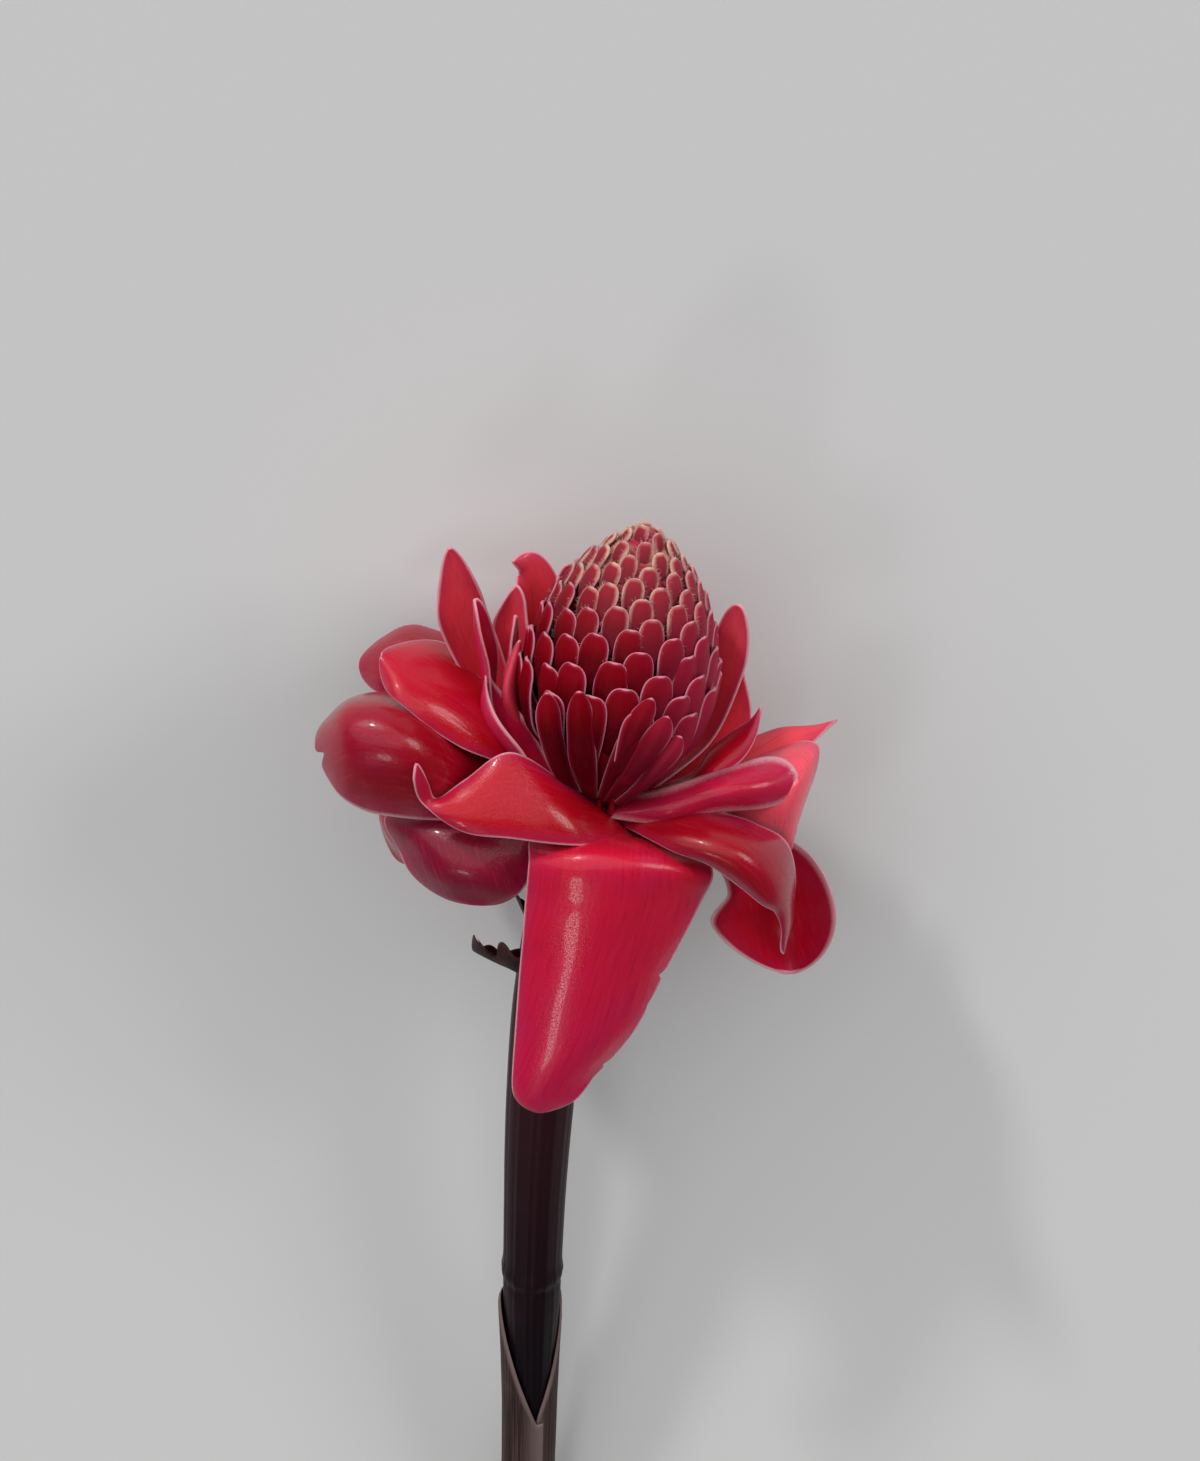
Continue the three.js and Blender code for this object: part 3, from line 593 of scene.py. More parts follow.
@dataclass(frozen=True)
class SheathSkin:
    """The finish of the leaf sheath: brown-grey fibrous skin with paler margins."""

    name: str = "sheath_skin"
    skin: str = "34221f"
    fibre: str = "6a524c"
    dark: str = "24120f"
    margin: str = "7c6a66"
    bleached: str = "5e4a44"
    relief: float = 0.2
    specular: float = 0.2

    def material(self) -> bpy.types.Material:
        """The material."""
        tree = ShaderTree(self.name)
        uv, place = tree.surface_map(), tree.place()
        edge = tree.mark("edge")
        fibres = tree.noise(uv, 150, 5, stretch=60)
        broad = tree.noise(uv, 22, 3, stretch=16)
        clouds = tree.noise(place, 45, 3)
        tone = tree.mix(broad.step(0.4, 0.65), self.dark, self.skin)
        tone = tone.toward(self.fibre, fibres.step(0.45, 0.75) * 0.5)
        tone = tone.toward(self.bleached, clouds.step(0.5, 0.8) * 0.4)
        tone = tone.toward(self.margin, (1 - edge.step(0.6, 7)) * 0.8)
        gloss = {"Specular IOR Level": self.specular}
        return tree.finish(tone, 0.5 + fibres * 0.15, fibres, self.relief, gloss)


@dataclass(frozen=True)
class WitheredSkin:
    """The finish of the dry bract remnants: crinkled brown-maroon."""

    name: str = "withered_skin"
    skin: str = "3c1216"
    glow: str = "7a2a34"
    burnt: str = "1a0a0a"
    margin: str = "6b4038"
    relief: float = 0.4

    def material(self) -> bpy.types.Material:
        """The material."""
        tree = ShaderTree(self.name)
        uv, place = tree.surface_map(), tree.place()
        edge = tree.mark("edge")
        veins = tree.noise(uv, 120, 4, stretch=6)
        clouds = tree.noise(place, 160, 4)
        tone = tree.mix(clouds.step(0.35, 0.65), self.burnt, self.skin)
        tone = tone.toward(self.glow, veins.step(0.5, 0.75) * 0.6)
        tone = tone.toward(self.margin, (1 - edge.step(0.1, 0.9)) * 0.5)
        return tree.finish(tone, 0.5 + veins * 0.3, veins * 0.6 + clouds * 0.4, self.relief)


@dataclass(frozen=True)
class Down:
    """The finish of the cone's fine hairs."""

    name: str = "cone_down"
    hair: str = "e6cdb4"
    blush: str = "d2a0a0"
    relief: float = 0.01

    def material(self) -> bpy.types.Material:
        """The material."""
        tree = ShaderTree(self.name)
        grain = tree.noise(tree.place(), 800, 1)
        tone = tree.mix(grain * 0.5, self.hair, self.blush)
        return tree.finish(tone, 0.7, grain, self.relief)


@dataclass(frozen=True)
class PaleFloor:
    """The finish of the studio floor."""

    name: str = "studio_floor"
    tint: str = "d2d2d2"
    grain: str = "c8c8c8"
    relief: float = 0.02
    specular: float = 0.1

    def material(self) -> bpy.types.Material:
        """The material."""
        tree = ShaderTree(self.name)
        grain = tree.noise(tree.place(), 300, 2)
        tone = tree.mix(grain * 0.03, self.tint, self.grain)
        gloss = {"Specular IOR Level": self.specular}
        return tree.finish(tone, 0.9, grain, self.relief, gloss)


# ---------------------------------------------------------------- blades


@dataclass(frozen=True)
class Blade:
    """A grown blade: a strip with rounded margins round a curved midrib.

    A station is (azimuth, reach, height, width, cup, twist[, curl]). Azimuth, reach and height
    place the midrib. Cup is the angle by which the blade has turned up at its margin, curl is a
    further turn kept to the right margin, and twist rolls the blade round its midrib.
    """

    stations: tuple[Station, ...]
    tip: float = 3  # the outline narrows as (1 - u^tip)^tip_power
    tip_power: float = 0.5
    notch: tuple[float, float, float] | None = None  # depth, place across and spread
    wave: tuple[float, float, float] = (0, 1, 0)  # height, waves and phase of the margins
    thickness: float = 1.4
    margin_thickness: float = 0.7
    swell: float = 0.35  # height of the soft unevenness of the face
    nicks: tuple[tuple[float, float, float], ...] = ()  # place along, depth and spread
    rows: int = 72
    columns: int = 36
    rim: float = 1  # how many times wider than usual the pale margin is
    seed: int = 0

    CROWDING = 1.5  # rows lie closer together toward the tip by this power
    RIM_POINTS = 3  # on the half circle round a margin
    SECTION_STEPS = 16
    SLOW_SINES = 6
    SLOW_SUM = 2.4  # the height of their sum that swell stands for
    WAVELENGTHS = (14, 46)

    def frame(self, u: Array) -> tuple[Array, Array, Array]:
        """The midrib and the directions across and off the blade.

        The direction across is level and square to the midrib's own direction, then rolled about
        it by the twist.

        Args:
            u: places along the blade, from root 0 to tip 1.

        Returns:
            The centre, the direction across and the direction that the blade faces.
        """
        rows = np.array([(a, r, h) for a, r, h, *_ in self.stations], float)
        angle = np.radians(rows[:, 0])
        spine = np.stack([rows[:, 1] * np.cos(angle), rows[:, 1] * np.sin(angle), rows[:, 2]], -1)
        centre = through(spine, u)
        along = heading(spine, u)
        level = unit(np.stack([-centre[..., 1], centre[..., 0], 0 * centre[..., 0]], -1))
        across = unit(level - (level * along).sum(-1, keepdims=True) * along)
        roll = np.radians(through([(s[5],) for s in self.stations], u))
        across = across * np.cos(roll) + np.cross(along, across) * np.sin(roll)
        return centre, across, np.cross(along, across)

    def centre(self, u: Array) -> Array:
        """The midrib's points."""
        return self.frame(u)[0]

    def narrowing(self, u: Array) -> Array:
        """The share of the width that is left at each u: 1 at the root and 0 at the tip."""
        return np.maximum(1 - np.clip(u, 0, 1) ** self.tip, 0) ** self.tip_power

    def half_width(self, u: Array) -> Array:
        """Half the blade's width at each u, which narrows to nothing at the tip."""
        return 0.5 * through([(s[3],) for s in self.stations], u)[..., 0] * self.narrowing(u)

    def face(self, u: Array, v: Array) -> Array:
        """Points of the middle surface.

        Out from the midrib the section turns by cup s + curl s^3, where s is the share of the way
        to the margin; the sums of the turned steps' cosines and sines are how far out and up the
        point lies. The margins wave with v^2 times a sine of u, and the whole face is uneven by a
        sum of slow sines of the distances along and across.

        Args:
            u: places along the blade.
            v: places across it, from -1 to 1.

        Returns:
            The points in the frame of the stations.
        """
        centre, across, facing = self.frame(u)
        half = self.half_width(u)
        cup = np.radians(through([(s[4],) for s in self.stations], u)[..., 0])
        curl = np.radians(through([(s[6] if len(s) > 6 else 0,) for s in self.stations], u)[..., 0])
        curl = np.where(v > 0, curl, 0)
        steps = (np.arange(self.SECTION_STEPS) + 0.5) / self.SECTION_STEPS
        s = np.abs(v)[..., None] * steps
        turn = cup[..., None] * s + curl[..., None] * s**3
        out = v * np.cos(turn).mean(-1)
        up = np.abs(v) * np.sin(turn).mean(-1)
        height, waves, phase = self.wave
        ripple = height * v**2 * np.sin(2 * np.pi * (waves * u + phase) + np.where(v > 0, 1.3, 0))
        ripple = ripple + self.unevenness(u, v, half)
        lift = (half * up + ripple)[..., None]
        return centre + (half * out)[..., None] * across + lift * facing

    def unevenness(self, u: Array, v: Array, half: Array) -> Array:
        """A sum of slow sines over the face, as high as swell, and stronger at the margins."""
        draw = np.random.default_rng(1000 + self.seed)
        length = self.length()
        total = np.zeros_like(u)
        for _ in range(self.SLOW_SINES):
            wavelength = draw.uniform(*self.WAVELENGTHS)
            bearing = draw.uniform(0, np.pi)
            phase = draw.uniform(0, 2 * np.pi)
            x = np.cos(bearing) * v * half + np.sin(bearing) * u * length
            total = total + np.sin(2 * np.pi * x / wavelength + phase)
        across = 0.5 + 0.8 * np.abs(v) ** 3
        return self.swell * total / self.SLOW_SUM * across * ease(u, 0.05, 0.3)

    def length(self) -> float:
        """The length of the midrib."""
        steps = np.diff(self.centre(np.linspace(0, 1, 60)), axis=0)
        return float(np.linalg.norm(steps, axis=1).sum())

    def skin(self) -> Skin:
        """The closed surface: at each place along the blade one ring round its section.

        The section is two level faces whose ends are joined by half circles. The faces' points
        are spread evenly across. Half the thickness falls from the middle to the margin with the
        square of the distance, and to nothing at the tip like a quarter circle.

        Returns:
            The skin, with marks for the place along, the distance to the margin and the side.
        """
        u = 1 - (1 - np.linspace(0, 1, self.rows + 1)[:-1]) ** self.CROWDING
        half = self.half_width(u)
        length = self.length()
        blunt = np.clip((1 - u) * length / (0.5 * self.thickness), 0, 1)
        cap = np.sqrt(blunt * (2 - blunt))
        rim = np.minimum(0.5 * self.margin_thickness, 0.7 * half)
        flat = np.linspace(-1, 1, self.columns + 1)
        arc = np.radians(np.linspace(90, -90, self.RIM_POINTS + 2)[1:-1])
        body = (half - rim)[:, None]
        middle = 0.5 * self.thickness - rim
        swollen = rim[:, None] + middle[:, None] * (1 - flat**2)
        edge_out = body + rim[:, None] * np.cos(arc)
        edge_up = rim[:, None] * np.sin(arc)
        x = np.concatenate([body * flat[::-1], -edge_out, body * flat, edge_out[:, ::-1]], 1)
        up = np.concatenate([swollen, edge_up, -swollen, edge_up[:, ::-1]], 1) * cap[:, None]
        side = np.broadcast_to(0.5 + 0.5 * np.sin(arc), edge_up.shape)
        inner = [np.ones_like(swollen), side, np.zeros_like(swollen), side[:, ::-1]]
        inner = np.concatenate(inner, 1)
        grid_u = np.repeat(u[:, None], x.shape[1], 1)
        for place, depth, spread in self.nicks:
            bite = depth * np.exp(-(((grid_u - place) / spread) ** 2))
            x = np.where(x > 0, x * (1 - bite), x)
        if self.notch:
            depth, place, spread = self.notch
            pull = depth / length * np.exp(-(((x - place) / spread) ** 2)) * grid_u**4
            grid_u = grid_u * (1 - pull)
        v = np.clip(x / np.maximum(self.half_width(grid_u), 1e-6), -1, 1)
        points = self.face(grid_u, v)
        points = points + up[..., None] * self.normal(grid_u, v)
        root, end = self.face(np.array([0.0, 1.0]), np.array([0.0, 0.0]))
        across = half[:, None] - np.abs(x)
        edge = np.minimum(across, (1 - grid_u) * length)
        marks = {
            "along": np.append(grid_u, [0, 1]),
            "edge": np.append(np.maximum(edge, 0), [half[0], 0]) / self.rim,
            "inner": np.append(inner, [0.5, 0.5]),
        }
        uv = np.stack([x, grid_u * length], -1).reshape(-1, 2)
        uv = np.concatenate([uv, [[0, 0], [0, length]]]) / UV_UNIT
        points = np.concatenate([points.reshape(-1, 3), [root, end]])
        return Skin(points, tube_faces(self.rows, x.shape[1]), uv, marks)

    def normal(self, u: Array, v: Array) -> Array:
        """The direction that the face looks in: the cross product of its steps along and across."""
        step = 2e-3
        low, high = np.maximum(u - step, 0), np.minimum(u + step, 0.9995)
        along = self.face(high, v) - self.face(low, v)
        across = self.face(u, np.minimum(v + step, 1)) - self.face(u, np.maximum(v - step, -1))
        return unit(np.cross(along, across))


@dataclass(frozen=True)
class RailedBlade(Blade):
    """A blade drawn through its two margins as well as its midrib.

    A station is nine numbers: the x, y and z of a point of the left margin, of the midrib and of
    the right margin.
    """

    def rails(self, u: Array) -> tuple[Array, Array, Array]:
        """The midrib, and how far the face leaves it for each v and for each v^2.

        The section is the parabola through the three rails' points, drawn in toward the midrib
        as the outline narrows.

        Args:
            u: places along the blade.

        Returns:
            The midrib's points and the two vectors.
        """
        points = through(self.stations, u)
        left, middle, right = points[..., :3], points[..., 3:6], points[..., 6:]
        narrowing = self.narrowing(u)[..., None]
        return middle, narrowing * (right - left) / 2, narrowing * ((right + left) / 2 - middle)

    def centre(self, u: Array) -> Array:
        """The midrib's points."""
        return self.rails(u)[0]

    def half_width(self, u: Array) -> Array:
        """Half the distance between the margins, which narrows to nothing at the tip."""
        return np.linalg.norm(self.rails(u)[1], axis=-1)

    def face(self, u: Array, v: Array) -> Array:
        """Points of the middle surface: midrib + v slope + v^2 bend, made uneven across that."""
        middle, slope, bend = self.rails(u)
        ahead, behind = np.minimum(u + SMALL_STEP, 1), np.maximum(u - SMALL_STEP, 0)
        along = self.centre(ahead) - self.centre(behind)
        facing = unit(np.cross(along, slope))
        lift = self.unevenness(u, v, self.half_width(u))[..., None]
        return middle + v[..., None] * slope + v[..., None] ** 2 * bend + lift * facing


def linked(name: str, data: bpy.types.ID) -> bpy.types.Object:
    """A new object of the scene with that data."""
    thing = bpy.data.objects.new(name, data)
    bpy.context.scene.collection.objects.link(thing)
    return thing


def show(
    name: str,
    skin: Skin,
    material: bpy.types.Material,
    nodes: Sequence[str] = (),
) -> bpy.types.Object:
    """Puts a finished piece in the scene.

    Args:
        name: the object's name.
        skin: its surface, in the row frame.
        material: its finish.
        nodes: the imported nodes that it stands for.

    Returns:
        The object, which rides on the flower's one body.
    """
    mesh = skin.mesh(name)
    mesh.materials.append(material)
    piece = linked(name, mesh)
    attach(piece, BODY)
    if nodes:
        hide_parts(*nodes)
    log.info("%s: %d points, %d faces", name, len(mesh.vertices), len(mesh.polygons))
    return piece


def on_floor(points: Array) -> Array:
    """Points of the row frame, flattened where they would pass the surface they lie on."""
    return np.stack([points[:, 0], points[:, 1], np.maximum(points[:, 2], 0)], -1)


def laid(skin: Skin) -> Skin:
    """A skin of the head frame in the row frame, flattened where it meets the surface."""
    return Skin(on_floor(head_to_row(skin.points)), skin.faces, skin.uv, skin.marks)


# ---------------------------------------------------------------- the big bracts


class Bract(NamedTuple):
    """One of the big bracts: its node, its blade and its hue."""

    node: str
    blade: Blade
    flush: Flush


@dataclass
class BractWhorl:
    """The 29 waxy bracts round the cone."""

    bracts: tuple[Bract, ...]

    def build(self) -> Iterator[bpy.types.Object]:
        """Makes each bract in turn, with its own seed and one material for each hue."""
        materials = {flush: flush.value.material() for flush in Flush}
        for seed, (node, blade, flush) in enumerate(self.bracts, 1):
            skin = laid(replace(blade, seed=seed).skin())
            yield show(f"{node}_flesh", skin, materials[flush], [node])


def bract(name: str, flush: Flush, *stations: Station, **shape: Any) -> Bract:
    """A bract of that name and hue, through those stations.

    Args:
        name: its name.
        flush: its hue.
        stations: its blade's stations; nine numbers each for a railed blade.
        shape: the blade's other dimensions.

    Returns:
        The bract.
    """
    kind = RailedBlade if len(stations[0]) == 9 else Blade
    return Bract(f"bract_{name}", kind(stations, **shape), flush)


BRACTS = (
    bract(
        "front_flag", Flush.MAGENTA,
        (-9, -12, -0.8, -0.1, -15, 1.2, 14.2, -12, 2.9),
        (-19.2, -24, 6.3, 4.7, -20, 8.9, 30.6, -20, 7.2),
        (-19.4, -34, 5.2, 4.7, -39, 13.8, 35.1, -30, 7.1),
        (-18.4, -35, -9.4, 6.1, -42, -0.6, 33.4, -30, -3.6),
        (-17.1, -36, -28.7, 4.2, -43, -22, 27.9, -32, -24.5),
        (-15.4, -38, -53.4, 2.1, -44, -47.8, 21.5, -36, -48.3),
        (-14.4, -39, -73.8, -3.3, -43, -70.7, 12.4, -39, -68.4),
        (-14.2, -40, -81.2, -3.4, -41, -81.1, 11.7, -40, -77.9),
        tip=10, rows=120, columns=52,
        nicks=((0.6, 0.07, 0.008), (0.66, 0.03, 0.014), (0.8, 0.08, 0.008), (0.84, 0.04, 0.02)),
    ),
    bract(
        "front_left_fold", Flush.SCARLET,
        (0.3, -12, 13.7, 6.7, -17, 11.2, 13.8, -18, 6.8),
        (-12.9, -20, 25.9, -10.4, -30, 21.6, -4.9, -34, 13.1),
        (-29.5, -24, 35.5, -28.5, -32, 25.9, -25.6, -37, 14.3),
        (-41, -27, 26.3, -41.1, -34, 20.7, -39.5, -35, 13.2),
        (-48.3, -29, 19.8, -50.4, -31, 19, -52, -32, 18.4),
        (-51.1, -30, 24.5, -53.8, -32, 26.1, -56.4, -33, 26.3),
        (-53.4, -31, 31.3, -56.1, -32, 32.5, -57.5, -33, 30.6),
        tip=9, rows=110, columns=48,
    ),
    bract(
        "front_right_droop", Flush.CRIMSON,
        (6.4, -14, 9.8, 8.8, -13, 11.4, 14.3, -6, 12),
        (20.1, -33, 15.4, 23.3, -32, 21.2, 27.7, -19, 22.2),
        (36.4, -38, 12.8, 39.4, -38, 22.1, 45.2, -18, 18.6),
        (49.6, -37, 3.1, 51.7, -37, 12.1, 57.6, -20, 13.6),
        (55.6, -34, -2.4, 58.2, -33, -1.3, 61.9, -24, -3.4),
        (59.3, -31, -15.8, 61.1, -30, -18.5, 62, -28, -14.6),
        tip=9, rows=110, columns=44,
    ),
    bract(
        "right_round", Flush.SCARLET,
        (1.7, -16, 12.6, 5.4, -15, 15.7, 9.6, -9, 16.5),
        (19.4, -20, 15.9, 18.9, -24, 23.7, 19.8, -16, 26.5),
        (33.5, -19, 21.4, 32.5, -23, 30.9, 34.3, -10, 30.6),
        (46.5, -16, 21.8, 45.5, -19, 32.8, 47.2, -4, 34.2),
        (58.8, -15, 22.8, 56.6, -12, 31.9, 55.5, -6, 39.3),
        tip=6, rows=84, columns=40, margin_thickness=2.2, rim=3.2,
    ),
    bract(
        "left_inner_curl", Flush.SCARLET,
        (-15.9, 2.7, 12, -13.2, -4.8, 12, -10.4, -12.3, 12),
        (-13.9, -8, 19.6, -19.4, -14, 21.1, -17.2, -20, 23.2),
        (-20.9, -4, 29.5, -28.6, -12, 28.3, -24.6, -18, 30.5),
        (-29.7, -2, 40.8, -37.8, -8, 38.3, -32.7, -14, 39.2),
        (-36.3, -3, 47.6, -38.7, -5, 50.4, -38.7, -7, 47.1),
        tip=6, rows=84,
    ),
    bract(
        "right_mid_near", Flush.SCARLET,
        (9.9, -12.1, 12, 12.7, -4.6, 12, 15.4, 2.9, 12),
        (25.9, -15, 22.9, 25.1, -12, 24.4, 26.4, -4, 24.9),
        (34.3, -12, 30.1, 33.2, -8, 33.8, 31.8, 2, 31.6),
        (41.7, -8, 36.9, 40, -5, 40.1, 39.1, 2, 40.2),
        (44.8, -2, 44.3, 43.6, 0, 48.1, 43, 1, 45),
        tip=5,
    ),
    bract(
        "right_mid_far", Flush.CORAL_AND_PAINTED_LIGHT,
        (-8, 13.5, 6, 18, 20, 0),
        (2, 37.5, 22, 24, -10, 10),
        (11, 54, 30, 22, -20, 15),
        (18, 75, 34, 6, -10, 10),
        tip=2, tip_power=0.6,
    ),
    bract(
        "left_mid", Flush.SCARLET,
        (-12, 11.8, 6, -13.4, 1.9, 6, -14.8, -8, 6),
        (-31.5, 8, 32.2, -29.3, -7, 30, -24.3, -13, 21.5),
        (-43.4, 13, 40.3, -45.6, -10, 41.7, -43.3, -19, 31.6),
        (-52.9, 15, 47.8, -60.6, -9, 48.9, -62.1, -19, 42.4),
        (-69.6, 8, 50.4, -70.2, -5, 50.5, -71, -11, 41),
        tip=7, rows=96, columns=44,
    ),
    bract(
        "left_big", Flush.CRIMSON,
        (-16.4, 7, 2, -13.5, -3.6, 2, -10.7, -14.2, 2),
        (-31.3, 4, 20.4, -34, -14, 18.8, -31.1, -20, 7.9),
        (-53.9, 6, 30.8, -57.9, -27, 37.7, -50.9, -23, 7.8),
        (-74.4, 4, 31.9, -76.4, -24, 36, -68.6, -22, 6.1),
        (-88.1, 0, 24.1, -85.1, -12, 20, -79.8, -19, 6.3),
        tip=8, rows=96, columns=56, notch=(6, 2.5, 1.3),
    ),
    bract(
        "left_lower", Flush.SHADED,
        (-18.3, 2.1, -4, -11.6, -7.8, -4, -4.9, -17.8, -4),
        (-38.1, -8, 7.2, -22.8, -20, 8.1, -6.6, -22, 4.1),
        (-61.9, -11, 0.3, -41.7, -25, 6.3, -14.3, -26, 2),
        (-57.9, -17, -9.6, -39.5, -31, -2.2, -16, -28, -6.3),
        (-56.1, -22, -22, -31.7, -28, -16.5, -13.3, -26, -15.3),
        tip=6, rows=84, columns=44,
    ),
    bract(
        "tall_left", Flush.CORAL_AND_PAINTED_LIGHT,
        (-10.4, 11.8, 10, -12.8, 4.2, 10, -15.3, -3.4, 10),
        (-26.9, 16, 29.9, -32.1, 13, 28.7, -36.2, 4, 29.9),
        (-36, 17, 49, -45.2, 15, 48.7, -53.8, 6, 55.8),
        (-42.5, 16, 64.3, -50, 16, 64.5, -56.9, 8, 65.3),
        (-47.3, 13, 78.2, -54.6, 11, 80.8, -59.2, 9, 76.8),
        tip=5,
    ),
    bract(
        "tall_narrow", Flush.SCARLET,
        (176, 13.5, 13, 12, 30, 0, 0),
        (180, 34.5, 33, 14, 15, 0, 40),
        (180, 41, 54, 15, 40, -20, 110),
        (179, 45.5, 70.5, 11, 40, -35, 100),
        tip=4,
    ),
    bract(
        "right_low_curl", Flush.SCARLET,
        (8.5, -16.1, -8, 13.1, -6.1, -8, 17.8, 3.8, -8),
        (32.5, -16, 2.6, 41.1, -6, -0.6, 48.3, 4, 1.3),
        (41.7, -24, -3.2, 56.6, 2, -14.8, 65.4, -4, 2.7),
        (36.3, -26, -14.1, 64, 8, -34.8, 78.9, -12, -10.2),
        (45.8, -18, -34.3, 69.9, -4, -43.9, 87.6, -12, -30.5),
        # rim=1.8 widens the pale margin: partly the margin's own pale colour, partly a painted
        # highlight on the rolled margin
        tip=6, rows=96, columns=48, rim=1.8,
    ),
    bract(
        "right_back_reflexed", Flush.ROSE_PAINTED_LIGHT,
        (14.8, -8.7, 0, 13.9, 1.2, 0, 13.1, 11.2, 0),
        (31.5, 0, 11.2, 33.8, 0, 18.8, 37.9, 10, 20.4),
        (39.3, -8, 13.7, 47.6, -8, 29.3, 56.7, 10, 31),
        (44.6, -12, 10.6, 54.8, -15, 29.3, 66.2, 6, 34.3),
        (52.8, -12, 9, 59.4, -12, 7.1, 61.2, -8, 17.5),
        tip=4,
    ),
    bract(
        "right_upper", Flush.CORAL_AND_PAINTED_LIGHT,
        (30, 13.5, 10, 15, 30, 0),
        (30, 32, 26, 17, 30, 5),
        (28, 37.5, 50, 16, 20, 20),
        (28, 37.5, 72, 15, 10, 30),
        tip=5,
    ),
    bract(
        "right_upper_behind", Flush.CORAL_AND_PAINTED_LIGHT,
        (18, 13.5, 7, 16, 30, 0),
        (24, 36, 26, 22, 10, 10),
        (28, 42.5, 36, 20, 0, 20),
        (29, 43.5, 50, 8, 0, 25),
        tip=2.5, tip_power=0.6,
    ),
    bract(
        "left_inner_front", Flush.CORAL_AND_PAINTED_LIGHT,
        (-16.9, -4, 17, -18.4, -2, 16.5, -20, 0, 16.5),
        (-25.4, 0, 30.9, -27.5, -4, 34, -30.4, -3, 33),
        (-29.3, 2, 43, -32, -3, 44.5, -34.4, -1, 42.3),
        (-28, 6, 54.4, -30.5, 3, 57.7, -33.1, 3, 53.2),
        tip=5,
    ),
    bract(
        "left_inner_back", Flush.CORAL_AND_PAINTED_LIGHT,
        (162, 14, 12, 9, 30, 0),
        (161, 30, 25, 10, 20, 0),
        (160, 34, 46, 10, 30, 0),
        (160, 34.5, 61, 7, 30, 0),
        tip=4,
    ),
    bract(
        "back_left_short", Flush.CORAL_AND_PAINTED_LIGHT,
        (-3.6, 15.2, 12, -9, 10.7, 12, -14.4, 6.2, 12),
        (-19, 16, 34.7, -21, 18, 31.8, -25.1, 16, 30.2),
        (-27.2, 18, 53.3, -32.3, 22, 49.6, -38, 18, 48.1),
        (-28.1, 19, 65.6, -33.3, 22, 65.6, -38.6, 20, 60.7),
        tip=6,
    ),
    bract(
        "back_left_curl", Flush.CORAL_AND_PAINTED_LIGHT,
        (116, 14, 6, 16, 30, 0),
        (122, 38, 31, 20, 10, 0),
        (127, 42, 54, 20, 10, 0),
        (131, 44.5, 66, 14, -10, -10),
        (140, 46, 69.5, 7, -30, -20),
        tip=3,
    ),
    bract(
        "back_shoulder", Flush.CORAL_AND_PAINTED_LIGHT,
        (110, 14, 13, 12, 30, 0),
        (115, 31, 29, 18, 20, 0),
        (120, 33.5, 52, 20, 30, 0),
        (124, 34, 72, 14, 20, 0),
        tip=4,
    ),
    bract(
        "left_back", Flush.CRIMSON,
        (-9.2, 14.5, -2, -13, 5.2, -2, -16.7, -4, -2),
        (-38.2, 40, 27.8, -38.6, 22, 24.5, -37.8, 16, 15.6),
        (-58.1, 50, 32, -56.8, 28, 31.7, -55.2, 18, 23.5),
        (-70.4, 50, 29, -69.7, 30, 27.4, -66.4, 22, 19.4),
        (-79.5, 46, 25.8, -76.4, 36, 21.9, -74.9, 28, 14.5),
        tip=4,
    ),
    bract(
        "left_under", Flush.CRIMSON,
        (-14.3, 9.5, -7, -14, -0.5, -7, -13.6, -10.5, -7),
        (-43.5, 16, -7.3, -41.2, 4, -8.4, -36.2, -6, -8.4),
        (-60.1, 19, -10.7, -61.6, 6, -12.2, -53, -10, -13.9),
        (-70.7, 14, -13.3, -57.5, 3, -24.5, -45.3, -6, -28.4),
        tip=4,
    ),
    bract(
        "back_upright", Flush.CORAL_AND_PAINTED_LIGHT,
        (88, 13.5, 8, 20, 30, 0),
        (88, 36, 30, 28, 20, 0),
        (88, 42, 50, 28, 10, 0),
        (88, 44, 66, 20, 0, 0),
        tip=4,
    ),
    bract(
        "back_rest_left", Flush.SCARLET,
        (118, 14, 0, 22, 30, 0),
        (118, 34, 14, 34, 0, 0),
        (118, 52, 18, 38, -20, 0),
        (118, 70, 14, 30, -25, 0),
        tip=4,
    ),
    bract(
        "back_rest_right", Flush.SCARLET,
        (60, 14, 1, 22, 30, 0),
        (61, 34, 15, 34, 0, 0),
        (62, 52, 19, 38, -20, 0),
        (62, 68.4, 14, 30, -25, 0),
        tip=4,
    ),
    bract(
        "back_low", Flush.MAGENTA,
        (92, 14.5, -8, 24, 30, 0),
        (92, 30, -6, 38, 0, 0),
        (92, 42, -20, 40, -30, 0),
        (92, 46, -44, 26, -30, 0),
        tip=4,
    ),
    bract(
        "back_right_low", Flush.MAGENTA,
        (38, 14.5, -5, 22, 30, 0),
        (38, 36, 2, 36, 0, 0),
        (36, 56, -2, 40, -30, 0),
        (34, 68, -18, 30, -30, 0),
        tip=4,
    ),
    bract(
        "back_left_low", Flush.MAGENTA,
        (146, 14.5, -6, 22, 30, 0),
        (146, 34, -2, 36, 0, 0),
        (146, 52, -6, 40, -30, 0),
        (146, 64, -22, 30, -30, 0),
        tip=4,
    ),
)


# ---------------------------------------------------------------- the floral cone


